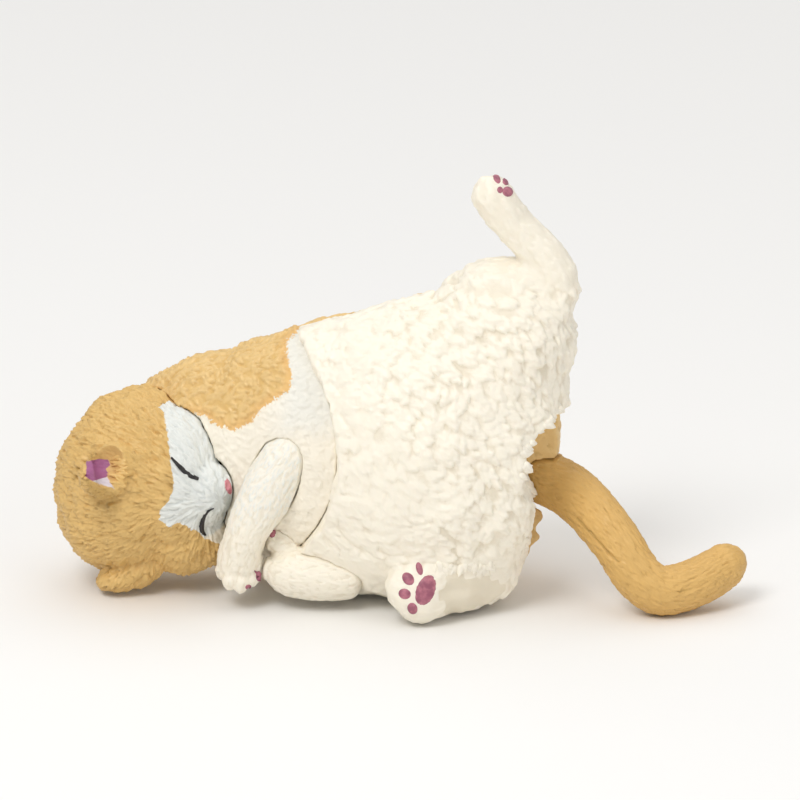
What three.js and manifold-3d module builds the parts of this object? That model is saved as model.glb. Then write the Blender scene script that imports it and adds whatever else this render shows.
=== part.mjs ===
// A sleeping cat figurine: it lies on its right side, belly to the front, with its left
// hind leg in the air. It is an assembly of moulded PVC pieces that plug together.
// Millimetres, +Z up. The head is at -X and the tail at +X, and the belly faces -Y.
// The origin is on the flat that the figurine rests on, under the middle of the belly.
import * as THREE from 'three';
import { mergeVertices } from 'three/addons/utils/BufferGeometryUtils.js';
import Module from 'manifold-3d';

const wasm = await Module();
wasm.setup();

// ---------- driving dimensions ----------
// The whole figurine. The sculptor's master is MASTER in size, and its points stretch to fit these.
const figureLength = 90;
const figureDepth = 29;
const figureHeight = 57.5;
const MASTER = new THREE.Vector3(90, 29, 57.5);

// Mouldings.
const wall = 2;
const seamGap = 0.2; // between two pieces that are pressed together
const swingGap = 0.3; // between a piece that turns and its neighbours
const pegFit = 0.1; // all round a peg in its hole
const partingY = 1; // the belly and back shells meet on this plane

// Limbs, each by its own thickness.
const tailRadius = 3.2;
const forelegRadius = 3.1;
const hindLegRadius = 2.8;
const earThickness = 1.1;
const toeRadius = 1.05;

// Plugs.
const neckPinRadius = 2.4;
const neckPinCollarRadius = 3.1;
const neckPinDepth = 7; // into the head, and the same past the collar's face into the chest
const neckPinCollar = 1;
const neckPinCollarAt = 2; // from the head's neck to the collar's face
const shoulderPegRadius = 1.6;
const shoulderPegDepth = 6.2; // from the middle of the limb
const pawPegRadius = 1.3;
const pawPegDepth = 6.6; // from the middle of the limb
const tailPegRadius = 1.8;
const tailPegDepth = 5;
const shellPegRadius = 1.2;
const shellPegDepth = 4;
const spigotDepthRadius = 4.2; // the waist spigot is oval, so that it can't turn
const spigotHeightRadius = 7;
const spigotReach = 6.5; // past the waist seam
const spigotWall = 1.4;

// How far the pieces swing that need room cut for them, in degrees.
const headSwing = [-3, 3];
const forelegSwing = [-2, 2];

// ---------- colours ----------
const cream = new THREE.MeshStandardMaterial({ color: 0xfaf1dd, roughness: 0.55, metalness: 0 });
const ginger = new THREE.MeshStandardMaterial({ color: 0xdfb369, roughness: 0.5, metalness: 0 });
const black = new THREE.MeshStandardMaterial({ color: 0x2a2a2a, roughness: 0.45, metalness: 0 });

// ---------- small helpers ----------
const stretch = new THREE.Vector3(figureLength, figureDepth, figureHeight).divide(MASTER);
const at = (x, y, z) => new THREE.Vector3(x, y, z).multiply(stretch);
const along = { x: new THREE.Vector3(1, 0, 0), y: new THREE.Vector3(0, 1, 0), z: new THREE.Vector3(0, 0, 1) };

function solid(geometry) {
  const bare = new THREE.BufferGeometry().setAttribute('position', geometry.getAttribute('position'));
  bare.setIndex(geometry.getIndex());
  const merged = mergeVertices(bare, 1e-4);
  return new wasm.Manifold(new wasm.Mesh({
    numProp: 3,
    vertProperties: merged.attributes.position.array,
    triVerts: new Uint32Array(merged.index.array),
  }));
}

const join = (...solids) => solids.reduce((a, b) => a.add(b));

function geometryOf(made) {
  const mesh = made.getMesh();
  const geometry = new THREE.BufferGeometry();
  geometry.setAttribute('position', new THREE.BufferAttribute(mesh.vertProperties, 3));
  geometry.setIndex(new THREE.BufferAttribute(mesh.triVerts, 1));
  geometry.computeVertexNormals();
  return geometry;
}

// An ellipsoid. Its radii are given on the figure's own axes, then it is turned by tilt.
function ball(centre, radii, { grow = 0, tilt = [0, 0, 0], fine = 24 } = {}) {
  const geometry = new THREE.SphereGeometry(1, fine, Math.round(fine * 0.6));
  geometry.scale(radii.x + grow, radii.y + grow, radii.z + grow);
  geometry.applyMatrix4(new THREE.Matrix4().makeRotationFromEuler(new THREE.Euler(...tilt)));
  return geometry.translate(centre.x, centre.y, centre.z);
}

// A round rod from one point to another.
function rod(from, to, radius, sides = 24) {
  const way = new THREE.Vector3().subVectors(to, from);
  const geometry = new THREE.CylinderGeometry(radius, radius, way.length(), sides);
  geometry.translate(0, way.length() / 2, 0);
  geometry.applyQuaternion(new THREE.Quaternion().setFromUnitVectors(along.y, way.clone().normalize()));
  return geometry.translate(from.x, from.y, from.z);
}

// A limb is a sphere pulled along a curve: its rings move to the stations that the curve passes.
// A station is a point with the limb's radii there, across the limb and front to back. The
// radii run smoothly between stations, and shrink to nothing at both ends.
function limb(stations, { grow = 0, around = 24, rings = 24 } = {}) {
  const path = new THREE.CatmullRomCurve3(stations.map((s) => s.at));
  const squares = new THREE.CatmullRomCurve3(
    stations.map(({ across, deep }) => new THREE.Vector3(across ** 2, deep ** 2, 0)));
  const geometry = new THREE.SphereGeometry(1, around, rings);
  const position = geometry.getAttribute('position');
  const vertex = new THREE.Vector3();
  for (let i = 0; i < position.count; i++) {
    vertex.fromBufferAttribute(position, i);
    const share = Math.acos(THREE.MathUtils.clamp(vertex.y, -1, 1)) / Math.PI;
    const girth = Math.hypot(vertex.x, vertex.z);
    const onPole = girth < 1e-6;
    const way = path.getTangent(share);
    const deepWay = along.y.clone().addScaledVector(way, -along.y.dot(way)).normalize();
    const acrossWay = new THREE.Vector3().crossVectors(deepWay, way);
    const square = squares.getPoint(share);
    const across = onPole ? 0 : Math.sqrt(Math.max(square.x, 0)) + grow;
    const deep = onPole ? 0 : Math.sqrt(Math.max(square.y, 0)) + grow;
    const point = path.getPoint(share);
    if (onPole) point.addScaledVector(way, share < 0.5 ? -grow : grow);
    else {
      point.addScaledVector(acrossWay, (vertex.x / girth) * across);
      point.addScaledVector(deepWay, (vertex.z / girth) * deep);
    }
    position.setXYZ(i, point.x, point.y, point.z);
  }
  return geometry;
}

// A station of a limb. With one radius the limb is round there.
const station = (point, across, deep = across) => ({ at: point, across, deep });
const end = (point) => station(point, 0);

// The same geometry turned about an axis through pivot.
function turned(geometry, pivot, axis, degrees) {
  const turn = new THREE.Matrix4().makeRotationAxis(axis, THREE.MathUtils.degToRad(degrees));
  return geometry.translate(-pivot.x, -pivot.y, -pivot.z).applyMatrix4(turn)
    .translate(pivot.x, pivot.y, pivot.z);
}

// The room that a moving piece needs: make() builds it grown, at rest and at both ends of its range.
function roomToSwing(make, pivot, axis, range) {
  return join(...[0, ...range].flatMap(
    (angle) => make().map((geometry) => solid(turned(geometry, pivot, axis, angle)))));
}

// ---------- the master's forms ----------
const radii = (x, y, z) => at(x, y, z);
const high = (z) => z * stretch.z;
const deep = (y) => y * stretch.y;

// Rear body: one big limb from the waist to the rump, with a haunch above and one below.
const trunkStations = () => [
  end(at(-22, 1, 18)),
  station(at(-19, 1, 18), high(16.6), deep(10.5)),
  station(at(-12, 0, 18.6), high(18.4), deep(12.5)),
  station(at(-5, -1.5, 19.4), high(19.8), deep(14)),
  station(at(2, -2, 20.2), high(20.8), deep(14.5)),
  station(at(8, -1.3, 21.2), high(20), deep(13)),
  station(at(12.8, 0, 21), high(14.8), deep(9.5)),
  end(at(15.6, 0.5, 20)),
];
const haunches = () => [
  ball(at(8.6, -2, 34.4), radii(10.2, 9.6, 10.6)),
  ball(at(4.6, -3, 9.4), radii(8.8, 9.4, 9.2)),
  ball(at(8.4, 3.4, 20.5), radii(8.6, 8, 9.5)),
];

// Chest: a limb from the ruff behind the head to the waist.
const chestStations = () => [
  end(at(-41, 8.5, 20)),
  station(at(-37, 8.5, 19), high(8.7), deep(5)),
  station(at(-32, 7, 17.8), high(13), deep(7.6)),
  station(at(-26, 5, 16.7), high(15.2), deep(8.9)),
  station(at(-20, 3.5, 17), high(16.5), deep(9.9)),
  station(at(-14, 2, 17.9), high(17.6), deep(11)),
  station(at(-9, 1, 18.5), high(18), deep(11.5)),
  end(at(-5, 1, 18.5)),
];

// The waist seam is the side of an upright oval drum, whose axis runs front to back.
const waistDrum = (grow) => {
  const drum = new THREE.CylinderGeometry(1, 1, figureDepth * 2, 64);
  drum.scale(33 * stretch.x + grow, 1, 26 * stretch.z + grow);
  const centre = at(-44.9, 0, 21.8);
  return drum.translate(centre.x, centre.y, centre.z);
};
const waistX = (-44.9 + 33) * stretch.x;
const spigotCentre = at(-12, 0, 21).setY(partingY);
const spigot = (grow, fromX, toX) => {
  const oval = new THREE.CylinderGeometry(1, 1, toX - fromX, 32).rotateZ(-Math.PI / 2);
  oval.scale(1, spigotDepthRadius + grow, spigotHeightRadius + grow);
  return oval.translate((fromX + toX) / 2, spigotCentre.y, spigotCentre.z);
};

// Head: skull, face, muzzle and chin. It turns about the neck axis, which lies along X.
const neckPoint = at(-27.8, 4, 15);
const headBalls = (grow = 0, fine = 28) => [
  ball(at(-39.1, 3, 14.2), radii(9.7, 10.3, 12.4), { grow, fine, tilt: [0, 0.3, 0] }),
  ball(at(-33.2, -0.2, 15.2), radii(6.6, 7.4, 9.6), { grow, fine: fine - 6 }),
  ball(at(-28.9, -4.2, 15.2), radii(3.2, 3.3, 3.9), { grow, fine: fine - 12, tilt: [0, 0, 0.5] }),
  ball(at(-28.9, -3.2, 12.6), radii(2.5, 2.7, 2.6), { grow, fine: fine - 12 }),
  ball(at(-32.2, 1, 8.7), radii(7, 6.5, 6.4), { grow, fine: fine - 8 }),
];

// The left foreleg hangs from its shoulder, in front of the chest.
const shoulder = at(-18.7, -6.2, 20.6);
const leftForelegStations = () => [
  end(shoulder.clone().add(new THREE.Vector3(0.9, 0, forelegRadius))),
  station(shoulder.clone().add(new THREE.Vector3(0.25, 0, 0.3)), forelegRadius * 0.98, 2.9),
  station(at(-20.8, -7.3, 16.6), forelegRadius * 1.06, 3),
  station(at(-22.9, -7.7, 12.6), forelegRadius * 0.97, 2.9),
  station(at(-24.2, -7.4, 9.4), forelegRadius * 0.86, 2.7),
  station(at(-24.9, -6.6, 6.3), forelegRadius * 0.92, 2.8),
  end(at(-25.3, -6.1, 6.3).sub(new THREE.Vector3(0, 0, forelegRadius * 0.9))),
];

// The right foreleg lies folded under the chest, with its paw curled up behind the left one.
const rightForelegStations = () => [
  end(at(-8.7, -6.4, 4.4)),
  station(at(-10.4, -6.7, 4.4), forelegRadius * 1.04, 3.3),
  station(at(-14.5, -7, 4.5), forelegRadius * 1.1, 3.4),
  station(at(-18.6, -6.7, 4.9), forelegRadius * 1.02, 3.1),
  end(at(-21.7, -6.2, 5.5)),
];
const rightPawStations = () => [
  end(at(-16.8, -6, 5)),
  station(at(-18.2, -5.8, 6.5), 1.9),
  station(at(-19.6, -5.4, 8.5), 1.7),
  end(at(-20.4, -5, 10.4)),
];
const pawPegPoint = at(-19.2, -5.7, 8);

// Raised left hind leg: shank inside the haunch, then hock, metatarsus and foot.
const leftHindLegStations = () => [
  end(at(10.5, -2.5, 34)),
  station(at(13, -2.6, 38), hindLegRadius * 1.6),
  station(at(16.2, -3, 42.9), hindLegRadius * 1.16),
  station(at(14.3, -3.1, 46.8), hindLegRadius * 1.02),
  station(at(11.2, -3.2, 50.3), hindLegRadius * 0.92),
  station(at(8.8, -3.3, 53.4), hindLegRadius * 1.0),
  station(at(7.7, -3.4, 55.2), hindLegRadius * 0.96),
  end(at(6.6, -3.5, 57.4)),
];
const shankStations = () => [
  end(at(3, -2.5, 37)),
  station(at(8, -2.6, 40.6), hindLegRadius * 2),
  station(at(13.2, -2.9, 42.4), hindLegRadius * 1.35),
  end(at(17.8, -3, 43.8)),
];

// Lower right hind leg: heel, sole and foot, with the sole to the front.
const rightHindLegStations = () => [
  end(at(11.4, -4.4, 6.4)),
  station(at(8.7, -7, 4.8), hindLegRadius * 1.12, hindLegRadius * 1.1),
  station(at(5.8, -10, 4.3), hindLegRadius * 1.3, hindLegRadius * 1.15),
  station(at(2.2, -11.8, 4.5), hindLegRadius * 1.45, hindLegRadius * 1.18),
  station(at(-1.5, -13, 4.25), hindLegRadius * 1.52, hindLegRadius * 1.12),
  station(at(-3.7, -13.2, 3.8), hindLegRadius * 1.36, hindLegRadius),
  end(at(-5.4, -13.1, 3)),
];

// The tail leaves the rump, comes down to the ground and turns up at its tip.
const tailRoot = at(14.4, 3.4, 14.6);
const tailAxis = new THREE.Vector3(-0.77, 0.6, 0.22).normalize(); // into the rump
const tailStations = () => [
  end(tailRoot.clone().addScaledVector(tailAxis, tailRadius * 0.5)),
  station(tailRoot, tailRadius * 1.06),
  station(at(18, 1.1, 13.5), tailRadius * 1.08),
  station(at(21.4, -3, 11.5), tailRadius * 1.04),
  station(at(24.4, -6.5, 8.5), tailRadius),
  station(at(26.8, -8.6, 5.2), tailRadius * 0.98),
  station(at(29.5, -9.4, 0).setZ(tailRadius), tailRadius * 0.98),
  station(at(32.6, -8.4, 0).setZ(tailRadius * 1.01), tailRadius * 0.98),
  station(at(35.9, -6.9, 0.9).add(new THREE.Vector3(0, 0, tailRadius)), tailRadius * 0.95),
  station(at(38.8, -5.2, 2.2).add(new THREE.Vector3(0, 0, tailRadius)), tailRadius * 0.86),
  end(at(41, -4, 3.1).add(new THREE.Vector3(0, 0, tailRadius))),
];

// A notch in the belly shell, between the haunches, where the rump and the tail come through.
const rumpNotch = (grow) => {
  const notch = new THREE.CylinderGeometry(1, 1, figureDepth, 40);
  notch.scale(6.6 * stretch.x + grow, 1, 7.6 * stretch.z + grow);
  const centre = at(18.6, 0, 19.2);
  return notch.translate(centre.x, partingY + seamGap * 2 - figureDepth / 2, centre.z);
};

// ---------- pieces ----------
// Everything above the ground: pieces that rest on it get their flats here.
function aboveGround(made) {
  const ground = new THREE.BoxGeometry(figureLength * 2, figureDepth * 4, figureHeight);
  return made.subtract(solid(ground.translate(0, 0, -figureHeight / 2)));
}

// The half of the figure in front of a plane across Y, or behind it.
function frontOf(y) {
  const half = new THREE.BoxGeometry(figureLength * 2, figureDepth * 2, figureHeight * 3);
  return solid(half.translate(0, y - figureDepth, 0));
}

const leftForeleg = (grow = 0, rings = 24) => limb(leftForelegStations(), { grow, rings });
const rightForeleg = (grow = 0) => join(
  solid(limb(rightForelegStations(), { grow, rings: 18 })),
  solid(limb(rightPawStations(), { grow, around: 16, rings: 10 })));
const toes = (grow = 0, fine = 14) =>
  [[-26.9, -6.6, 5], [-26, -8, 4.1], [-24.6, -8.3, 3.8], [-23.3, -7.4, 4.3]].map((toe) =>
    ball(at(...toe), new THREE.Vector3(toeRadius, toeRadius, toeRadius * 1.35), { grow, fine }));
const leftForelegRoom = roomToSwing(
  () => [leftForeleg(swingGap, 14), ...toes(swingGap, 10)], shoulder, along.y, forelegSwing);
const tailRoom = solid(limb(
  tailStations().slice(0, 4).concat(end(at(24.4, -6.5, 8.5))), { grow: swingGap, rings: 12 }));

// A hole for a peg, a little deeper than the peg is long.
const pegHole = (from, way, depth, radius) =>
  solid(rod(from, from.clone().addScaledVector(way, depth + 0.5), radius + pegFit));
function makeHead() {
  const upperEar = solid(limb([
    end(at(-39.4, -2.6, 17.6)),
    station(at(-41.2, -5.6, 18.3), 3.9, 2.8),
    station(at(-42.9, -8.6, 18.9), 3.1, 2.1),
    station(at(-44.1, -11, 19.3), 1.7, 1.2),
    end(at(-44.9, -12.8, 19.5)),
  ], { around: 20, rings: 14 }));
  const hollowRadii = new THREE.Vector3(2.6, 4.2, 4.1 - earThickness);
  const upperEarHollow = solid(
    ball(at(-41.2, -9.6, 20.2), hollowRadii, { fine: 16, tilt: [0, 0.3, 0.45] }));
  const lowerEar = solid(limb([
    end(at(-34.6, 0.4, 7)),
    station(at(-37.2, -0.6, 4.6), 3, 2.6),
    station(at(-40, -1.2, 2.7), 2, 2.8),
    station(at(-42.1, -1.4, 1.9), 1.5, 2.2),
    end(at(-43.8, -1.6, 1.5)),
  ], { around: 20, rings: 14 }));
  const socket = pegHole(neckAt(3), along.x.clone().negate(), neckPinDepth + 3, neckPinRadius);
  return aboveGround(join(...headBalls().map(solid), upperEar, lowerEar)
    .subtract(upperEarHollow)
    .subtract(socket));
}

// The pin turns in the head and is pressed into the chest up to its collar.
const neckAt = (offset) => neckPoint.clone().add(new THREE.Vector3(offset, 0, 0));
const makeNeckPin = () => join(
  solid(rod(neckAt(-neckPinDepth), neckAt(neckPinCollarAt + neckPinDepth), neckPinRadius)),
  solid(rod(neckAt(neckPinCollarAt), neckAt(neckPinCollarAt + neckPinCollar), neckPinCollarRadius)));

function makeChest() {
  const outer = solid(limb(chestStations(), { around: 32, rings: 22 }))
    .intersect(solid(waistDrum(-seamGap / 2)));
  const plug = solid(spigot(0, waistX - wall * 2, waistX + spigotReach));
  const hollow = solid(ball(at(-13.2, 4, 18.6), radii(7.2, 5, 9.5), { fine: 20 }));
  const bore = solid(spigot(-spigotWall, waistX - wall * 2, waistX + spigotReach * 2));
  const headRoom = roomToSwing(() => headBalls(swingGap, 24), neckPoint, along.x, headSwing);
  const neckHole = pegHole(neckAt(-3), along.x, neckPinCollarAt + neckPinDepth + 3, neckPinRadius);
  const collarSeat = pegHole(
    neckAt(-3), along.x, 3 + neckPinCollarAt + neckPinCollar - 0.5, neckPinCollarRadius);
  return aboveGround(join(outer, plug)
    .subtract(hollow)
    .subtract(bore)
    .subtract(neckHole)
    .subtract(collarSeat)
    .subtract(pegHole(shoulder, along.y, shoulderPegDepth, shoulderPegRadius))
    .subtract(pegHole(pawPegPoint, along.y, pawPegDepth, pawPegRadius))
    .subtract(headRoom)
    .subtract(leftForelegRoom)
    .subtract(rightForeleg(seamGap)));
}

function makeLeftForeleg() {
  const pegEnd = shoulder.clone().addScaledVector(along.y, shoulderPegDepth);
  return join(
    solid(leftForeleg()),
    ...toes().map(solid),
    solid(rod(shoulder, pegEnd, shoulderPegRadius)));
}

function makeRightForeleg() {
  const pegEnd = pawPegPoint.clone().addScaledVector(along.y, pawPegDepth);
  return aboveGround(join(rightForeleg(), solid(rod(pawPegPoint, pegEnd, pawPegRadius)))
    .subtract(leftForelegRoom));
}

// The rear body is made whole, then parted into a belly shell and a back shell. The belly shell's
// notch bares the back shell and the tail's root.
const rear = join(...[
  limb(trunkStations(), { around: 32, rings: 22 }),
  ...haunches(),
  limb(shankStations(), { around: 16, rings: 10 }),
  limb(leftHindLegStations(), { around: 18, rings: 18 }),
  limb(rightHindLegStations(), { around: 18, rings: 14 }),
].map(solid));
const hollow = solid(ball(at(-2.6, -0.6, 19.6), radii(12.4, 10.5, 16.5)));
const spigotHole = solid(spigot(pegFit, waistX - wall, waistX + spigotReach + wall));
const shellPegPoints = [at(-4, 0, 37.4), at(-4, 0, 2.9), at(12, 0, 30)]
  .map((point) => point.setY(partingY));

function makeBellyShell() {
  const toBelly = along.y.clone().negate();
  const holes = shellPegPoints.map((point) =>
    pegHole(point.clone().setY(partingY + 1), toBelly, shellPegDepth + 1, shellPegRadius));
  return aboveGround(rear
    .intersect(frontOf(partingY - seamGap / 2))
    .subtract(solid(waistDrum(seamGap / 2)))
    .subtract(hollow)
    .subtract(join(...holes))
    .subtract(spigotHole)
    .subtract(solid(rumpNotch(seamGap)))
    .subtract(rightForeleg(seamGap))
    .subtract(tailRoom));
}

function makeBackShell() {
  const pegs = shellPegPoints.map((point) => solid(rod(
    point.clone().addScaledVector(along.y, 2),
    point.clone().addScaledVector(along.y, -shellPegDepth), shellPegRadius)));
  const tailHole = pegHole(
    tailRoot.clone().addScaledVector(tailAxis, -2), tailAxis, tailPegDepth + 2, tailPegRadius);
  return aboveGround(rear
    .subtract(frontOf(partingY + seamGap / 2))
    .subtract(solid(waistDrum(seamGap / 2)))
    .subtract(hollow)
    .add(join(...pegs))
    .subtract(spigotHole)
    .subtract(tailHole)
    .subtract(tailRoom));
}

function makeTail() {
  const pegEnd = tailRoot.clone().addScaledVector(tailAxis, tailPegDepth);
  return aboveGround(join(
    solid(limb(tailStations(), { around: 24, rings: 40 })),
    solid(rod(tailRoot, pegEnd, tailPegRadius))));
}

// ---------- assembly ----------
const figurine = new THREE.Group();
figurine.name = 'cat_figurine';

function add(name, made, material) {
  const mesh = new THREE.Mesh(geometryOf(made), material);
  mesh.name = name;
  figurine.add(mesh);
}

add('head', makeHead(), ginger);
add('neck_pin', makeNeckPin(), black);
add('chest', makeChest(), cream);
add('left_foreleg', makeLeftForeleg(), cream);
add('right_foreleg', makeRightForeleg(), cream);
add('belly_shell', makeBellyShell(), cream);
add('back_shell', makeBackShell(), ginger);
add('tail', makeTail(), ginger);

export default figurine;
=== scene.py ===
"""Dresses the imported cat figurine: sculpted fur, paint, pads and face, on a pale studio floor."""

import math

import bmesh
import bpy
import numpy as np
from mathutils import Matrix, Vector, noise
from mathutils.bvhtree import BVHTree


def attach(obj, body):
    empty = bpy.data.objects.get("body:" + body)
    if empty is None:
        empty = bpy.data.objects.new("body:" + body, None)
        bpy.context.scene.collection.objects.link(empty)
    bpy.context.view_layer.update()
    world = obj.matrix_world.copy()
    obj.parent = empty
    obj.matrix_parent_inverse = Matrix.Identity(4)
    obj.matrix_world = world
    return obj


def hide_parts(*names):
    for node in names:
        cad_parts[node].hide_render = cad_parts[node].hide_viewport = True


bl_info = {
    "name": "Sleeping Cat Figurine",
    "version": (1, 0, 0),
    "blender": (4, 5, 0),
    "location": "View3D > Sidebar > Figurine",
    "description": "Dresses the packed figurine in sculpted fur, paint and a studio stage",
    "category": "Object",
}

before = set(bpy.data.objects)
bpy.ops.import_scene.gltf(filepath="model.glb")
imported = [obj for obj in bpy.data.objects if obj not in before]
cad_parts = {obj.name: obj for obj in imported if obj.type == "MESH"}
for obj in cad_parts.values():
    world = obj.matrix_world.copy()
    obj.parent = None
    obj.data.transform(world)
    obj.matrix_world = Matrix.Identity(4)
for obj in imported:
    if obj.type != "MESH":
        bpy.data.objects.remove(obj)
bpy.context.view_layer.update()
MM = 0.001

# The front view that the markings are laid out in: X across, and height up the picture plane of
# someone who looks down at the figurine by this angle.
LOOK_DOWN = math.radians(18)

SKIN_TRIANGLES = 184_000  # at most, for one sculpted piece


def srgb(red, green, blue):
    """A linear colour from 0 to 255 display values."""
    return tuple(
        c / 12.92 if c <= 0.04045 else ((c + 0.055) / 1.055) ** 2.4
        for c in (red / 255, green / 255, blue / 255)
    )


# ---------------------------------------------------------------- sizes and colours


def length(name, description, value):
    """A size property, given in millimetres."""
    return bpy.props.FloatProperty(
        name=name, description=description, default=value * MM, unit="LENGTH", precision=5
    )


def colour(name, description, red, green, blue):
    """A colour property, given as display values."""
    return bpy.props.FloatVectorProperty(
        name=name, description=description, subtype="COLOR", size=3, min=0, max=1,
        default=srgb(red, green, blue),
    )


class FigurineSizes(bpy.types.PropertyGroup):
    """Sizes of the sculpted relief."""

    skin: length("Skin", "Edge of the skin's mesh cells", 0.2)
    head_skin: length("Head skin", "Edge of the mesh cells on the head and limbs", 0.15)
    belly_lock: length("Belly lock", "Length of a lock of belly fur", 3.7)
    belly_depth: length("Belly depth", "Relief of the belly fur", 0.66)
    head_lock: length("Head lock", "Length of a lock of head fur", 4.6)
    head_depth: length("Head depth", "Relief of the head fur", 0.7)
    chest_lock: length("Chest lock", "Length of a lock of chest fur", 2.1)
    chest_depth: length("Chest depth", "Relief of the chest fur", 0.42)
    back_lock: length("Back lock", "Length of a lock of fur on the back", 2.8)
    back_depth: length("Back depth", "Relief of the fur on the back", 0.42)
    tail_lock: length("Tail lock", "Length of a lock of tail fur", 4.6)
    tail_depth: length("Tail depth", "Relief of the tail fur", 0.32)
    leg_lock: length("Foreleg lock", "Length of a lock of foreleg fur", 1.9)
    leg_depth: length("Foreleg depth", "Relief of the foreleg fur", 0.17)
    eye_line: length("Eye line", "Width of a closed eye's painted line", 0.5)
    seed: bpy.props.IntProperty(name="Seed", description="Lays the locks out differently", default=7)


class FigurineColours(bpy.types.PropertyGroup):
    """Paint and plastic colours, and the darker colours of the painted shade in their grooves."""

    cream: colour("Cream", "Bare plastic", 251, 243, 226)
    # Painted shade: the cream darker down between the locks.
    cream_groove: colour("Cream groove", "Bare plastic deep between the locks", 230, 219, 196)
    white: colour("White", "Cool white paint of the face", 232, 234, 229)
    # Painted shade: the face's white darker in its grooves.
    white_groove: colour("White groove", "Grooves of the face", 196, 203, 202)
    ginger: colour("Ginger", "Ginger paint", 225, 186, 116)
    # Painted shade: the ginger darker in its grooves and under the ear.
    ginger_groove: colour("Ginger groove", "Ginger paint in the grooves", 188, 150, 80)
    ginger_light: colour("Light ginger", "Ginger paint of the chest", 236, 200, 136)
    ginger_tail: colour("Tail ginger", "Ginger paint of the tail", 224, 180, 106)
    ginger_edge: colour("Ginger edge", "Thin ginger paint at a sprayed edge", 236, 190, 120)
    rose: colour("Rose", "Pads", 190, 120, 134)
    rose_groove: colour("Rose groove", "Pads, at their edges", 150, 84, 104)
    nose: colour("Nose", "Nose leather", 228, 156, 163)
    ear: colour("Ear", "Inside of an ear", 165, 96, 140)
    lilac: colour("Lilac", "Pale paint under the ear's pink", 226, 220, 228)
    line: colour("Line", "Closed eyes", 20, 19, 20)
    pin: colour("Pin", "Neck pin plastic", 40, 40, 42)
    floor: colour("Floor", "Studio floor", 246, 245, 243)


# ---------------------------------------------------------------- node trees


class Tree:
    """Short ways to add and link nodes in one node tree."""

    def __init__(self, tree):
        self.tree = tree

    def node(self, kind, *values, _settings=None, **inputs):
        """Adds a node. Values go to its inputs in order, and named ones by name with _ for a space."""
        made = self.tree.nodes.new(kind)
        for name, value in (_settings or {}).items():
            setattr(made, name, value)
        for index, value in enumerate(values):
            self.put(made.inputs[index], value)
        for name, value in inputs.items():
            self.put(made.inputs[name.replace("_", " ")], value)
        return made

    def put(self, socket, value):
        if isinstance(value, bpy.types.NodeSocket):
            self.tree.links.new(value, socket)
        elif value is not None:
            socket.default_value = value

    def math(self, operation, *values, clamp=False):
        made = self.node("ShaderNodeMath", *values, _settings={"operation": operation})
        made.use_clamp = clamp
        return made.outputs[0]

    def vector(self, operation, *values):
        made = self.node("ShaderNodeVectorMath", *values, _settings={"operation": operation})
        plain = operation in {"DOT_PRODUCT", "LENGTH", "DISTANCE"}
        return made.outputs["Value" if plain else "Vector"]

    def curve(self, value, points):
        """A curve through these points, as a function of value."""
        made = self.node("ShaderNodeFloatCurve", 1.0, value)
        line = made.mapping.curves[0]
        for index, point in enumerate(points):
            if index < 2:
                line.points[index].location = point
            else:
                line.points.new(*point)
        made.mapping.update()
        return made.outputs[0]

    def product(self, first, *others):
        for other in others:
            first = self.math("MULTIPLY", first, other)
        return first

    def swing(self, value, amount):
        """A value from 0 to 1 as one that swings about 0, with this amount from end to end."""
        return self.product(self.math("SUBTRACT", value, 0.5), amount)

    def noise(self, scale, detail, vector=None, **inputs):
        """Noise in object coordinates, unless a vector is given."""
        place = vector or self.node("ShaderNodeTexCoord").outputs["Object"]
        made = self.node("ShaderNodeTexNoise", Vector=place, Scale=scale, Detail=detail, **inputs)
        return made.outputs[0]

    def ramp(self, value, low, high, to_low=0.0, to_high=1.0):
        made = self.node(
            "ShaderNodeMapRange", _settings={"interpolation_type": "SMOOTHSTEP"},
            Value=value, From_Min=low, From_Max=high, To_Min=to_low, To_Max=to_high,
        )
        return made.outputs["Result"]

    def mix(self, factor, a, b, blend="MIX"):
        made = self.tree.nodes.new("ShaderNodeMix")
        made.data_type = "RGBA"
        made.blend_type = blend
        for index, value in ((0, factor), (6, a), (7, b)):
            if isinstance(value, tuple) and len(value) == 3:
                value = (*value, 1.0)
            self.put(made.inputs[index], value)
        return made.outputs[2]

    def named(self, name, kind):
        """A mesh attribute as a field, in a geometry tree."""
        made = self.node("GeometryNodeInputNamedAttribute", name, _settings={"data_type": kind})
        return next(s for s in made.outputs if s.enabled)

    def attribute(self, name):
        return self.node("ShaderNodeAttribute", _settings={"attribute_name": name})


def new_group(name, kind, inputs, outputs):
    """A node group with these inputs and outputs, each (name, socket type, default)."""
    tree = bpy.data.node_groups.new(name, kind)
    for socket_name, socket_type, default in inputs:
        socket = tree.interface.new_socket(socket_name, in_out="INPUT", socket_type=socket_type)
        if default is not None:
            socket.default_value = default
    for socket_name, socket_type in outputs:
        tree.interface.new_socket(socket_name, in_out="OUTPUT", socket_type=socket_type)
    way_in = tree.nodes.new("NodeGroupInput")
    way_out = tree.nodes.new("NodeGroupOutput")
    return tree, way_in, way_out


FLOAT = "NodeSocketFloat"
INTEGER = "NodeSocketInt"
GEOMETRY = "NodeSocketGeometry"
VECTOR = "NodeSocketVector"
COLOR = "NodeSocketColor"
BROAD_LAYERS = 9
FINE_LAYERS = 6


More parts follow.
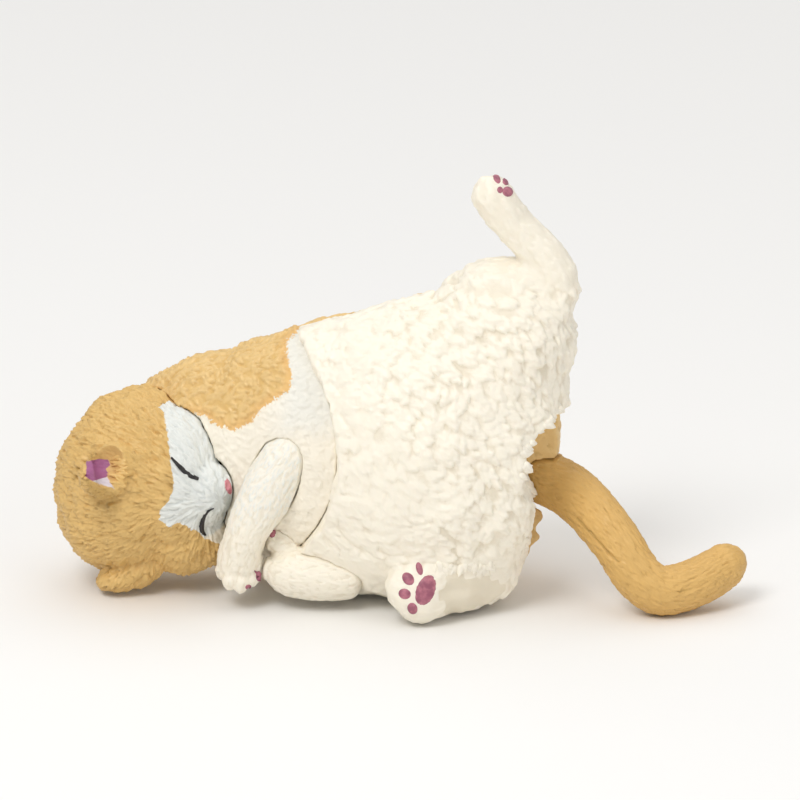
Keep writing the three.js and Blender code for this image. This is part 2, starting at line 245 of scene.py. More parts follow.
def lock_layer_group():
    """One layer of locks of fur as fields: every point of the skin takes its height from the nearest lock.

    Nearest is measured in the skin's combed attribute, in which long strands can be pressed short.
    """
    tree, way_in, way_out = new_group(
        "Lock layer", "GeometryNodeTree",
        [
            ("Skin", GEOMETRY, None), ("Seed", INTEGER, 0), ("Spacing", FLOAT, 0.002),
            ("Length", FLOAT, 0.003), ("Width", FLOAT, 0.001), ("Spread", FLOAT, 0.5),
        ],
        [("Height", FLOAT), ("Lock", VECTOR)],
    )
    t = Tree(tree)
    given = way_in.outputs
    density = t.math("DIVIDE", 2.5, t.product(given["Spacing"], given["Spacing"]))
    scatter = t.node(
        "GeometryNodeDistributePointsOnFaces", _settings={"distribute_method": "POISSON"},
        Mesh=given["Skin"], Distance_Min=given["Spacing"], Density_Max=density, Seed=given["Seed"],
    )
    roots = scatter.outputs["Points"]
    combed = t.named("combed", "FLOAT_VECTOR")
    position = t.node("GeometryNodeInputPosition").outputs[0]
    pressed = t.node("GeometryNodeSetPosition", roots, Position=combed)
    nearest = t.node("GeometryNodeSampleNearest", pressed.outputs[0], Sample_Position=combed).outputs[0]

    def at_root(field, kind):
        """The field's value at the nearest lock's root."""
        made = t.node(
            "GeometryNodeSampleIndex", _settings={"data_type": kind}, Geometry=roots, Index=nearest
        )
        t.put(next(s for s in made.inputs if s.name == "Value" and s.enabled), field)
        return next(s for s in made.outputs if s.enabled)

    chance = t.node("FunctionNodeRandomValue", _settings={"data_type": "FLOAT"}, Seed=given["Seed"])
    luck = at_root(next(s for s in chance.outputs if s.enabled), "FLOAT")
    lay = at_root(t.named("comb", "FLOAT_VECTOR"), "FLOAT_VECTOR")
    grown = at_root(t.named("lock_size", "FLOAT"), "FLOAT")
    normal = t.node("GeometryNodeInputNormal").outputs[0]
    turn = t.node(
        "ShaderNodeVectorRotate", _settings={"rotation_type": "AXIS_ANGLE"},
        Vector=lay, Axis=normal, Angle=t.swing(luck, t.product(given["Spread"], 2.0)),
    )
    along_way = turn.outputs[0]
    side_way = t.vector("NORMALIZE", t.vector("CROSS_PRODUCT", normal, along_way))
    offset = t.vector("SUBTRACT", position, at_root(position, "FLOAT_VECTOR"))
    size = t.product(t.math("ADD", 0.75, t.product(t.math("FRACT", t.product(luck, 7.31)), 0.5)), grown)
    run = t.vector("DOT_PRODUCT", offset, along_way)
    reach = t.vector("DOT_PRODUCT", offset, side_way)
    share = t.math("ADD", t.math("DIVIDE", run, t.product(given["Length"], size)), 0.5)
    half_width = t.product(given["Width"], 0.5, size)
    taper = t.curve(share, [(0.0, 0.0), (1.0, 0.0), (0.08, 0.6), (0.32, 1.0), (0.62, 0.86), (0.86, 0.42)])
    rise = t.curve(share, [(0.0, 0.0), (1.0, 0.5), (0.35, 0.34), (0.7, 0.85), (0.86, 1.0)])
    inside = t.math("DIVIDE", reach, t.product(half_width, t.math("MAXIMUM", taper, 0.02)))
    dome = t.math("SUBTRACT", 1.0, t.product(inside, inside), clamp=True)
    fullness = t.math("ADD", 0.65, t.product(luck, 0.35))
    t.put(way_out.inputs["Height"], t.product(t.math("POWER", dome, 0.6), rise, fullness))
    across = t.math("ADD", reach, t.product(luck, 0.3))
    lock = t.node("ShaderNodeCombineXYZ", across, run, luck).outputs[0]
    t.put(way_out.inputs["Lock"], lock)
    return tree


def fur_tree():
    """Lays broad locks over a skin, and fine ones over those.

    The skin's attributes say how the fur lies: comb, combed, lock_size and fur_depth.
    """
    layer = lock_layer_group()
    tree, way_in, way_out = new_group(
        "Fur relief", "GeometryNodeTree",
        [
            ("Geometry", GEOMETRY, None), ("Lock Length", FLOAT, 0.003), ("Lock Width", FLOAT, 0.001),
            ("Lock Spacing", FLOAT, 0.002), ("Spread", FLOAT, 0.5), ("Fine Size", FLOAT, 0.45),
            ("Fine Share", FLOAT, 0.35), ("Billow", FLOAT, 0.5), ("Billow Size", FLOAT, 0.005),
            ("Sink", FLOAT, 0.45), ("Seed", INTEGER, 0), ("Material", "NodeSocketMaterial", None),
        ],
        [("Geometry", GEOMETRY)],
    )
    t = Tree(tree)
    given = way_in.outputs

    def stack(count, scale, first_seed):
        """The tops of several layers: their height, and which lock is on top."""
        top, top_lock = None, None
        for number in range(count):
            made = t.node(
                "GeometryNodeGroup", _settings={"node_tree": layer}, Skin=given["Geometry"],
                Seed=t.math("ADD", given["Seed"], float(first_seed + number * 17)),
                Spacing=t.product(given["Lock Spacing"], scale),
                Length=t.product(given["Lock Length"], scale),
                Width=t.product(given["Lock Width"], scale), Spread=given["Spread"],
            )
            height, lock = made.outputs["Height"], made.outputs["Lock"]
            if top is None:
                top, top_lock = height, lock
                continue
            choice = t.node("ShaderNodeMix", _settings={"data_type": "VECTOR"})
            for index, value in ((0, t.math("GREATER_THAN", height, top)), (4, top_lock), (5, lock)):
                t.put(choice.inputs[index], value)
            top_lock = choice.outputs[1]
            top = t.math("MAXIMUM", height, top)
        return top, top_lock

    def keep(geometry, name, value, kind):
        made = t.node(
            "GeometryNodeStoreNamedAttribute", _settings={"data_type": kind, "domain": "POINT"},
            Geometry=geometry, Name=name,
        )
        t.put(next(s for s in made.inputs if s.name == "Value" and s.enabled), value)
        return made.outputs[0]

    broad, broad_lock = stack(BROAD_LAYERS, 1.0, 0)
    fine, _ = stack(FINE_LAYERS, given["Fine Size"], 500)
    height = t.math("ADD", broad, t.swing(fine, given["Fine Share"]))
    skin = keep(given["Geometry"], "relief", height, "FLOAT")
    skin = keep(skin, "lock", broad_lock, "FLOAT_VECTOR")
    depth = t.named("fur_depth", "FLOAT")
    relief = t.named("relief", "FLOAT")
    normal = t.node("GeometryNodeInputNormal").outputs[0]
    scale = t.math("DIVIDE", 1.0, given["Billow Size"])
    lumps = t.node("ShaderNodeTexNoise", Scale=scale, Detail=1.0).outputs[0]
    billow = t.swing(lumps, t.product(given["Billow"], 4.0))
    lift = t.product(t.math("ADD", t.math("SUBTRACT", relief, given["Sink"]), billow), depth)
    offset = t.node("ShaderNodeVectorMath", normal, _settings={"operation": "SCALE"}, Scale=lift)
    moved = t.node("GeometryNodeSetPosition", skin, Offset=offset.outputs[0])
    real = t.node("GeometryNodeRealizeInstances", moved.outputs[0])
    final = t.node("GeometryNodeSetMaterial", real.outputs[0], Material=given["Material"])
    t.put(way_out.inputs[0], final.outputs[0])
    return tree


def tuft_tree():
    """Sets a small pointed lock on each point of a mesh, by the point's way, out and size attributes."""
    tree, way_in, way_out = new_group(
        "Tufts", "GeometryNodeTree",
        [
            ("Geometry", GEOMETRY, None), ("Length", FLOAT, 0.002), ("Width", FLOAT, 0.0008),
            ("Thickness", FLOAT, 0.0005), ("Curl", FLOAT, 0.2), ("Material", "NodeSocketMaterial", None),
        ],
        [("Geometry", GEOMETRY)],
    )
    t = Tree(tree)
    given = way_in.outputs
    ball = t.node("GeometryNodeMeshUVSphere", 10, 8, 1.0)
    x, y, z = t.node("ShaderNodeSeparateXYZ", t.node("GeometryNodeInputPosition").outputs[0]).outputs
    share = t.product(t.math("ADD", z, 1.0), 0.5)
    taper = t.math("SUBTRACT", 1.15, t.product(share, 0.85))
    lift = t.product(share, share, t.product(given["Curl"], given["Length"]))
    thick = t.product(x, taper, t.product(given["Thickness"], 0.5))
    wide = t.product(y, taper, t.product(given["Width"], 0.5))
    long = t.product(share, given["Length"])
    shape = t.node("ShaderNodeCombineXYZ", t.math("ADD", thick, lift), wide, long)
    lock = t.node("GeometryNodeSetPosition", ball.outputs["Mesh"], Position=shape.outputs[0])
    turn = t.node(
        "FunctionNodeAxesToRotation", t.named("way", "FLOAT_VECTOR"), t.named("out", "FLOAT_VECTOR"),
        _settings={"primary_axis": "Z", "secondary_axis": "X"},
    )
    placed = t.node(
        "GeometryNodeInstanceOnPoints", Points=given["Geometry"], Instance=lock.outputs[0],
        Rotation=turn.outputs[0], Scale=t.named("size", "FLOAT"),
    )
    real = t.node("GeometryNodeRealizeInstances", placed.outputs[0])
    final = t.node("GeometryNodeSetMaterial", real.outputs[0], Material=given["Material"])
    t.put(way_out.inputs[0], final.outputs[0])
    return tree


# ---------------------------------------------------------------- materials


def groove_shade_group():
    """Painted shade: paint that goes darker and warmer down in the grooves of the relief and in hollows
    that see little of the room.
    """
    tree, way_in, way_out = new_group(
        "Groove wash", "ShaderNodeTree",
        [
            ("Paint", COLOR, (0.8, 0.8, 0.8, 1)), ("Groove", COLOR, (0.4, 0.4, 0.4, 1)),
            ("Amount", FLOAT, 1.0), ("Mottle", FLOAT, 0.06),
        ],
        [("Color", COLOR)],
    )
    t = Tree(tree)
    given = way_in.outputs
    relief = t.attribute("relief").outputs["Fac"]
    hollow = t.attribute("exposure").outputs["Fac"]
    # Painted shade in the grooves between the locks, where the relief is low.
    low = t.math("ADD", relief, t.swing(t.noise(900.0, 3.0), 0.25))
    groove = t.product(t.ramp(low, 0.42, 0.0), t.attribute("furred").outputs["Fac"])
    # Painted shade in the hollows that see little of the room.
    shut = t.ramp(hollow, 0.4, 0.1)
    amount = t.math("MULTIPLY", t.math("MAXIMUM", groove, shut), given["Amount"], clamp=True)
    shaded_in_grooves = t.mix(amount, given["Paint"], given["Groove"])
    light = t.math("ADD", 1.0, t.swing(t.noise(160.0, 4.0), given["Mottle"]))
    grey = t.node("ShaderNodeCombineColor", light, light, light).outputs[0]
    t.put(way_out.inputs[0], t.mix(1.0, shaded_in_grooves, grey, "MULTIPLY"))
    return tree


def paint_edge_group():
    """Where paint lies: 1 inside its edge and 0 outside, with a brushed or sprayed border."""
    tree, way_in, way_out = new_group(
        "Paint edge", "ShaderNodeTree",
        [
            ("Distance", FLOAT, 0.0), ("Feather", FLOAT, 0.3), ("Softness", FLOAT, 0.1),
            ("Scale", FLOAT, 1400.0),
        ],
        [("Mask", FLOAT)],
    )
    t = Tree(tree)
    given = way_in.outputs
    spray = t.noise(given["Scale"], 4.0, Roughness=0.65)
    edge = t.math("ADD", given["Distance"], t.swing(spray, t.product(given["Feather"], 4.0)))
    t.put(way_out.inputs[0], t.ramp(edge, t.product(given["Softness"], -1.0), given["Softness"]))
    return tree


def strand_group():
    """Fine hairs along each lock, as a bump height in millimetres."""
    tree, way_in, way_out = new_group(
        "Fine strands", "ShaderNodeTree",
        [("Width", FLOAT, 0.00022), ("Strength", FLOAT, 1.0)],
        [("Height", FLOAT)],
    )
    t = Tree(tree)
    given = way_in.outputs
    lock = t.node("ShaderNodeSeparateXYZ", t.attribute("lock").outputs["Vector"])
    across = t.math("DIVIDE", lock.outputs[0], given["Width"])
    along = t.math("DIVIDE", lock.outputs[1], t.product(given["Width"], 9.0))
    hairs = t.noise(1.0, 2.0, t.node("ShaderNodeCombineXYZ", across, along, 0.0).outputs[0])
    both = t.math("ADD", hairs, t.product(t.noise(5200.0, 2.0), 0.25))
    t.put(way_out.inputs[0], t.product(both, given["Strength"]))
    return tree


PLASTIC_ROUGHNESS = (0.42, 0.58)
PLASTIC_DEPTH = 0.08  # how strongly light goes into bare plastic
_groups = {}


def group(name):
    """The shared node group of this name, made the first time it is wanted."""
    makers = {
        "shading": groove_shade_group, "edge": paint_edge_group, "strands": strand_group,
        "fur": fur_tree, "tufts": tuft_tree,
    }
    if name not in _groups:
        _groups[name] = makers[name]()
    return _groups[name]


def new_material(name, roughness=0.5, coat=0.0, subsurface=0.0):
    """A new material, its tree and its Principled shader."""
    material = bpy.data.materials.new(name)
    material.use_nodes = True
    t = Tree(material.node_tree)
    shader = material.node_tree.nodes["Principled BSDF"]
    shader.inputs["Roughness"].default_value = roughness
    shader.inputs["Coat Weight"].default_value = coat
    shader.inputs["Coat Roughness"].default_value = 0.35
    shader.inputs["Subsurface Weight"].default_value = subsurface
    shader.inputs["Subsurface Radius"].default_value = (1.0, 0.8, 0.6)
    shader.inputs["Subsurface Scale"].default_value = 0.0008
    return material, t, shader


def shaded_in_grooves(t, paint, groove, amount=1.0, mottle=0.06):
    """Paint with painted shade in its grooves and hollows. Both colours are red, green and blue."""
    made = t.node(
        "ShaderNodeGroup", _settings={"node_tree": group("shading")},
        Paint=(*paint, 1.0), Groove=(*groove, 1.0), Amount=amount, Mottle=mottle,
    )
    return made.outputs[0]


def edge_mask(t, attribute, feather, softness, scale=1400.0):
    """1 where an attribute is above 0, with a ragged border. Lengths are in millimetres."""
    made = t.node(
        "ShaderNodeGroup", _settings={"node_tree": group("edge")},
        Distance=t.attribute(attribute).outputs["Fac"], Feather=feather, Softness=softness, Scale=scale,
    )
    return made.outputs[0]


def bump(t, shader, strength, width=0.00022, distance=0.0001):
    """Fine hairs of this width in metres, as a bump."""
    hairs = t.node("ShaderNodeGroup", _settings={"node_tree": group("strands")}, Width=width).outputs[0]
    made = t.node("ShaderNodeBump", Strength=strength, Distance=distance, Height=hairs)
    t.put(shader.inputs["Normal"], made.outputs[0])


def roughness_noise(t, shader, low, high, scale=700.0):
    """Uneven gloss, between two roughnesses."""
    t.put(shader.inputs["Roughness"], t.ramp(t.noise(scale, 3.0), 0.3, 0.7, low, high))


def surfaced(t, shader, paint, strength, low=PLASTIC_ROUGHNESS[0], high=PLASTIC_ROUGHNESS[1], **hairs):
    """Gives a shader its paint, uneven gloss and fine hairs."""
    t.put(shader.inputs["Base Color"], paint)
    roughness_noise(t, shader, low, high)
    bump(t, shader, strength, **hairs)


def rgb(value):
    """A colour property as plain numbers."""
    return tuple(value)


def bare_plastic(t, tint, amount):
    # Bare plastic, with painted shade in its grooves and hollows.
    return shaded_in_grooves(t, rgb(tint.cream), rgb(tint.cream_groove), amount, 0.05)


def cream_material(tint):
    material, t, shader = new_material("Cream plastic", subsurface=PLASTIC_DEPTH)
    surfaced(t, shader, bare_plastic(t, tint, 0.75), 0.35, width=0.0003)
    return material


def ginger_material(tint, name, paint, low=0.4, high=0.55, shading=0.75):
    material, t, shader = new_material(name)
    # Ginger paint, with painted shade of this strength in its grooves and hollows.
    surfaced(t, shader, shaded_in_grooves(t, rgb(paint), rgb(tint.ginger_groove), shading, 0.12), 0.5, low, high)
    return material


def foreleg_material(tint):
    material, t, shader = new_material("Foreleg plastic", subsurface=PLASTIC_DEPTH)
    cream = bare_plastic(t, tint, 0.5)
    raised = t.ramp(t.attribute("relief").outputs["Fac"], 0.3, 0.9, 0.2, 0.8)
    brushed = t.mix(raised, cream, rgb(tint.white))
    surfaced(t, shader, t.mix(edge_mask(t, "white_edge", 1.2, 2.5, 500.0), cream, brushed), 0.3)
    return material


def head_material(tint):
    material, t, shader = new_material("Head paint")
    # Ginger and white paint, each with painted shade in its grooves and hollows.
    ginger = shaded_in_grooves(t, rgb(tint.ginger), rgb(tint.ginger_groove), 0.85, 0.12)
    white = shaded_in_grooves(t, rgb(tint.white), rgb(tint.white_groove), 0.8, 0.05)
    cream = bare_plastic(t, tint, 0.7)
    # Painted shade under the ear and over its pink, laid over the ginger.
    shade = t.product(edge_mask(t, "shade_edge", 0.35, 0.45, 900.0), 0.6)
    ginger = t.mix(shade, ginger, rgb(tint.ginger_groove))
    face = t.mix(edge_mask(t, "cream_edge", 0.25, 0.25, 900.0), white, cream)
    base = t.mix(edge_mask(t, "white_edge", 0.2, 0.07, 1300.0), ginger, face)
    pale = t.mix(edge_mask(t, "lilac_edge", 0.06, 0.1, 1500.0), base, rgb(tint.lilac))
    paint = t.mix(edge_mask(t, "ear_edge", 0.05, 0.06, 1500.0), pale, rgb(tint.ear))
    surfaced(t, shader, paint, 0.5, 0.4, 0.55)
    return material


def chest_material(tint):
    material, t, shader = new_material("Chest paint", 0.45)
    cream = bare_plastic(t, tint, 0.5)
    # The white and the ginger each get painted shade in their grooves and hollows.
    white = shaded_in_grooves(t, rgb(tint.white), rgb(tint.white_groove), 0.35, 0.05)
    ginger = shaded_in_grooves(t, rgb(tint.ginger_light), rgb(tint.ginger), 0.8, 0.1)
    strip = t.product(edge_mask(t, "white_edge", 0.7, 2.2, 500.0), 0.55)
    body = t.mix(strip, cream, white)
    thin = edge_mask(t, "ginger_edge", 0.55, 0.12, 2200.0)
    full = t.ramp(t.attribute("ginger_edge").outputs["Fac"], 0.0, 1.6)
    spray = t.mix(full, rgb(tint.ginger_edge), ginger)
    t.put(shader.inputs["Base Color"], t.mix(thin, body, spray))
    gloss = t.ramp(t.attribute("ginger_edge").outputs["Fac"], -0.2, 0.6, 0.5, 0.36)
    t.put(shader.inputs["Roughness"], gloss)
    bump(t, shader, 0.45)
    return material


def plain_material(name, paint, groove, roughness, coat=0.0):
    """A small painted or moulded piece, a little uneven in colour and gloss."""
    material, t, shader = new_material(name, roughness, coat)
    cloud = t.noise(1100.0, 4.0)
    t.put(shader.inputs["Base Color"], t.mix(t.ramp(cloud, 0.35, 0.7), groove, paint))
    roughness_noise(t, shader, roughness - 0.06, roughness + 0.08, 1500.0)
    made = t.node("ShaderNodeBump", Strength=0.25, Distance=0.00005, Height=cloud)
    t.put(shader.inputs["Normal"], made.outputs[0])
    return material


# ---------------------------------------------------------------- skins


def solid_copy(node):
    """A watertight copy of a CAD node's mesh."""
    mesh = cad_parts[node].data.copy()
    mesh.materials.clear()
    work = bmesh.new()
    work.from_mesh(mesh)
    bmesh.ops.remove_doubles(work, verts=work.verts, dist=1e-7)
    work.to_mesh(mesh)
    work.free()
    return mesh


def finished(obj):
    """The object with its modifiers applied, as a plain mesh."""
    scene_graph = bpy.context.evaluated_depsgraph_get()
    mesh = bpy.data.meshes.new_from_object(obj.evaluated_get(scene_graph))
    old = obj.data
    obj.modifiers.clear()
    obj.data = mesh
    bpy.data.meshes.remove(old)
    return obj


def link(name, mesh):
    obj = bpy.data.objects.new(name, mesh)
    bpy.context.scene.collection.objects.link(obj)
    return obj


def even_skin(name, node, cell):
    """The CAD node's shape as an even mesh of small cells, with larger ones where nobody sees them."""
    obj = link(name, solid_copy(node))
    remesh = obj.modifiers.new("Even", "REMESH")
    remesh.mode = "VOXEL"
    remesh.voxel_size = cell * 1.0
    bpy.context.view_layer.update()
    finished(obj)
    triangles = 2 * len(obj.data.polygons)
    hidden = exposure(Skin(obj)) < 0.04
    wanted = min(SKIN_TRIANGLES, triangles * (1 - 0.8 * hidden.mean()))
    if wanted < triangles:
        hidden_group = obj.vertex_groups.new(name="hidden")
        hidden_group.add(np.flatnonzero(hidden).tolist(), 1.0, "REPLACE")
        thin = obj.modifiers.new("Thin", "DECIMATE")
        thin.ratio = wanted / triangles
        thin.vertex_group = "hidden"
        bpy.context.view_layer.update()
        finished(obj)
        obj.vertex_groups.clear()
    return obj


def store(mesh, name, values):
    """Stores one number or one vector for each vertex on a mesh, as an attribute."""
    layer = mesh.attributes.new(name, "FLOAT_VECTOR" if values.ndim == 2 else "FLOAT", "POINT")
    layer.data.foreach_set("vector" if values.ndim == 2 else "value", values.astype(np.float32).ravel())


class Skin:
    """The vertices of a mesh as arrays, in millimetres."""

    def __init__(self, obj):
        self.mesh = obj.data
        self.count = len(self.mesh.vertices)
        self.points = self.read("co") / MM
        edges = np.empty(len(self.mesh.edges) * 2, np.int32)
        self.mesh.edges.foreach_get("vertices", edges)
        self.edges = edges.reshape(-1, 2)
        self.valence = np.bincount(self.edges.ravel(), minlength=self.count).astype(float)
        self.valence[self.valence == 0] = 1
        self.refresh()

    def read(self, name):
        values = np.empty(self.count * 3, np.float32)
        self.mesh.vertices.foreach_get(name, values)
        return values.reshape(-1, 3).astype(float)

    def refresh(self):
        """Writes the points to the mesh, and reads its normals."""
        self.mesh.vertices.foreach_set("co", (self.points * MM).astype(np.float32).ravel())
        self.mesh.update()
        values = np.empty(self.count * 3, np.float32)
        self.mesh.vertex_normals.foreach_get("vector", values)
        self.normals = values.reshape(-1, 3).astype(float)

    def mean(self, values):
        """For each vertex, the mean of its neighbours' values."""
        a, b = self.edges[:, 0], self.edges[:, 1]
        flat = values.reshape(self.count, -1)
        total = np.empty_like(flat, dtype=float)
        for column in range(flat.shape[1]):
            one = flat[:, column]
            total[:, column] = np.bincount(a, one[b], self.count) + np.bincount(b, one[a], self.count)
        return (total / self.valence[:, None]).reshape(values.shape)

    def smooth(self, steps, share=0.5, mask=None):
        for _ in range(steps):
            move = (self.mean(self.points) - self.points) * share
            self.points += move if mask is None else move * mask[:, None]
        self.refresh()

    def blur(self, values, steps):
        for _ in range(steps):
            values = 0.5 * values + 0.5 * self.mean(values)
        return values

    def fill_creases(self, steps, mask):
        """Lifts the skin where it folds inwards, so that forms run into each other."""
        for step in range(steps):
            if step % 12 == 11:
                self.refresh()
            lift = ((self.mean(self.points) - self.points) * self.normals).sum(1)
            self.points += self.normals * (np.clip(lift, 0, None) * 0.6 * mask)[:, None]
        self.refresh()

    def keep(self, name, values):
        store(self.mesh, name, values)

    def comb(self, ways):
        """Stores which way the fur lies: ways, laid along the surface."""
        flat = ways - self.normals * (ways * self.normals).sum(1)[:, None]
        size = np.linalg.norm(flat, axis=1)
        flat[size < 1e-6] = (1.0, 0.0, 0.0)
        self.keep("comb", flat / np.maximum(size, 1e-6)[:, None])


def smoothstep(low, high, value):
    share = np.clip((value - low) / (high - low), 0, 1)
    return share * share * (3 - 2 * share)


def clouds(points, size, seed=0.0):
    """Smooth noise from -1 to 1, with lumps of this size in millimetres."""
    shift = Vector((seed, seed * 0.7, seed * 1.3))
    return np.array([noise.noise(Vector(p) / size + shift) for p in points])


def tree_of(nodes):
    """One search tree over several CAD nodes, in metres."""
    vertices, faces = [], []
    for node in nodes:
        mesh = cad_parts[node].data
        start = len(vertices)
        vertices.extend(v.co.copy() for v in mesh.vertices)
        faces.extend(tuple(start + i for i in p.vertices) for p in mesh.polygons)
    return BVHTree.FromPolygons(vertices, faces)


# Pieces pressed so tightly against each other that hardly a line shows between them.
MERGED = {"right_foreleg": ("chest",), "chest": ("right_foreleg",)}

# How much of the gap to its neighbour each skin closes.
SEAM_SHUT = 0.33
MERGED_SHUT = 0.75

# Directions spread evenly over a ball, each turned on from the last by the golden angle.
RAY_COUNT = 42
GOLDEN_ANGLE = 2.39996
RAYS = [
    Vector((math.cos(turn) * math.sqrt(1 - h * h), math.sin(turn) * math.sqrt(1 - h * h), h))
    for h, turn in ((-1 + 2 * (k + 0.5) / RAY_COUNT, k * GOLDEN_ANGLE) for k in range(RAY_COUNT))
]
_everything = []


def exposure(skin):
    """How much of the room each vertex sees, from 0 for the inside of a hollow to 1 in the open."""
    if not _everything:
        _everything.append(tree_of(list(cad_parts)))
    tree = _everything[0]
    cells = np.floor(skin.points / 0.9).astype(int)
    facing = np.round(skin.normals * 1.2).astype(int)
    _, first, which = np.unique(
        np.hstack([cells, facing]), axis=0, return_index=True, return_inverse=True
    )
    which = which.ravel()
    seen = np.zeros(len(first))
    for index, vertex in enumerate(first):
        normal = Vector(skin.normals[vertex])
        start = Vector(skin.points[vertex]) * MM + normal * (0.35 * MM)
        total, free = 0.0, 0.0
        for ray in RAYS:
            lean = ray.dot(normal)
            if lean > 0.1:
                total += lean
                if tree.ray_cast(start, ray, 0.04)[0] is None:
                    free += lean
        seen[index] = free / max(total, 1e-6)
    return skin.blur(seen[which], 5)


def seam_mask(skin, node, reach=1.1, touching=0.5, most=0.27):
    """Presses the skin's seams tighter. Returns 0 where it nearly touches a neighbour, 1 elsewhere.

    The lengths are in millimetres: how near a neighbour counts, how near is touching, and the
    furthest that the skin is pressed.
    """
    fused = MERGED.get(node, ())
    others = [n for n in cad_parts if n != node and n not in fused]
    mask = np.ones(skin.count)
    push = np.zeros(skin.count)
    for nodes, shut in ((others, SEAM_SHUT), (fused, MERGED_SHUT)):
        if not nodes:
            continue
        tree = tree_of(nodes)
        for index, (point, normal) in enumerate(zip(skin.points, skin.normals)):
            hit, _, _, distance = tree.find_nearest(Vector(point) * MM, reach * MM)
            if hit is not None:
                way = (np.array(hit) / MM - point) / max(distance / MM, 1e-6)
                if way @ normal > 0.35:
                    mask[index] = float(distance > touching * MM)
                    push[index] = min(distance / MM * shut, most)
    skin.points += skin.normals * skin.blur(push, 1)[:, None]
    skin.refresh()
    return skin.blur(mask, 2)


def dress(obj, tree, **values):
    """Runs a geometry tree on an object with these inputs, and makes it a plain mesh again."""
    layer = obj.modifiers.new("Dress", "NODES")
    layer.node_group = group(tree)
    for item in layer.node_group.interface.items_tree:
        name = item.name.replace(" ", "_").lower()
        if item.in_out == "INPUT" and name in values:
            layer[item.identifier] = values[name]
    bpy.context.view_layer.update()
    return finished(obj)


def fur(obj, skin, depth, combed=None, size=None, **values):
    """Lays the fur relief over a skin that has its comb attribute."""
    skin.keep("fur_depth", depth * MM)
    skin.keep("furred", np.clip(depth / max(np.percentile(depth, 90), 1e-3), 0, 1) ** 1.5)
    skin.keep("combed", skin.points * MM if combed is None else combed * MM)
    skin.keep("lock_size", np.ones(skin.count) if size is None else size)
    dress(obj, "fur", **values)
    for name in ("comb", "combed", "lock_size", "fur_depth"):
        obj.data.attributes.remove(obj.data.attributes[name])
    obj.data.shade_smooth()
    return obj


def prepared(skin, node, crease_steps):
    """Tightens a skin's seams and fills its creases.

    Returns how open each vertex is, and where fur grows.
    """
    seen = exposure(skin)
    seam = seam_mask(skin, node)
    grows = smoothstep(0.08, 0.24, seen) * seam
    if crease_steps:
        skin.fill_creases(crease_steps, grows)
    return seen, grows


def handed(obj, body, replaces):
    """Says which body a piece rides on, and what it stands for."""
    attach(obj, body)
    if replaces:
        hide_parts(replaces)


def hind_foot(points):
    """1 on the right hind foot, which lies in front of the belly, and 0 elsewhere."""
    return smoothstep(-9.0, -10.5, points[:, 1]) * smoothstep(9.0, 7.5, points[:, 2])


def surface_of(name):
    """A search tree over a sculpted piece, in metres."""
    mesh = bpy.data.objects[name].data
    return BVHTree.FromPolygons([v.co for v in mesh.vertices], [tuple(p.vertices) for p in mesh.polygons])


VIEW_WAY = Vector((0, math.cos(LOOK_DOWN), -math.sin(LOOK_DOWN)))


def in_view(x, height):
    """A point of the front view, in millimetres, as a point in front of the figurine, in metres."""
    up = Vector((0, math.sin(LOOK_DOWN), math.cos(LOOK_DOWN)))
    return (Vector((x, 0, 0)) + up * height) * MM - VIEW_WAY * 0.08


def seen_at(surface, x, height):
    """Where a line of sight meets a surface, and which way the surface faces there."""
    place, normal, _, _ = surface.ray_cast(in_view(x, height), VIEW_WAY)
    if place is None:
        near, normal, _, _ = surface.find_nearest(in_view(x, height) + VIEW_WAY * 0.07)
        return near, normal
    return place, normal


def smooth_path(points, count):
    """A smooth curve through a few points of any dimension."""
    points = np.array(points, float)
    padded = np.vstack([2 * points[0] - points[1], points, 2 * points[-1] - points[-2]])
    made = []
    for where in np.linspace(0, len(points) - 1, count):
        k = min(int(where), len(points) - 2)
        u = where - k
        a, b, c, d = padded[k:k + 4]
        bend, twist = 2 * a - 5 * b + 4 * c - d, 3 * b - a - 3 * c + d
        made.append(0.5 * (2 * b + (c - a) * u + bend * u**2 + twist * u**3))
    return np.array(made)


def ribbon(name, surface, points, widths, thickness=0.3, count=26, around=10):
    """A raised painted line along points of the front view, in millimetres."""
    path = smooth_path(np.column_stack([points, widths]), count)
    centres, normals = [], []
    for x, height, _ in path:
        place, normal = seen_at(surface, x, height)
        centres.append(np.array(place))
        normals.append(np.array(normal))
    centres = np.array(centres)
    normals = np.array(normals)
    for _ in range(4):
        centres[1:-1] = (centres[:-2] + 2 * centres[1:-1] + centres[2:]) / 4
        normals[1:-1] = (normals[:-2] + 2 * normals[1:-1] + normals[2:]) / 4
    ways = np.gradient(centres, axis=0)
    vertices = []
    for centre, normal, way, (_, _, width) in zip(centres, normals, ways, path):
        normal = normal / np.linalg.norm(normal)
        side = np.cross(normal, way)
        side /= np.linalg.norm(side)
        for k in range(around):
            turn = 2 * math.pi * k / around
            across = side * (math.cos(turn) * width / 2 * MM)
            vertices.append(centre + across + normal * (math.sin(turn) * thickness / 2 * MM))
    faces = []
    for row in range(count - 1):
        for k in range(around):
            a, b = row * around + k, row * around + (k + 1) % around
            faces.append((a, a + around, b + around, b))
    faces.append(tuple(range(around)))
    faces.append(tuple(reversed(range((count - 1) * around, count * around))))
    return closed_piece(name, vertices, faces)


# Where a pad reaches past its paw in the front view, its points draw in to these shares.
PAD_RETREAT = (1.0, 0.9, 0.8, 0.7, 0.6, 0.4)


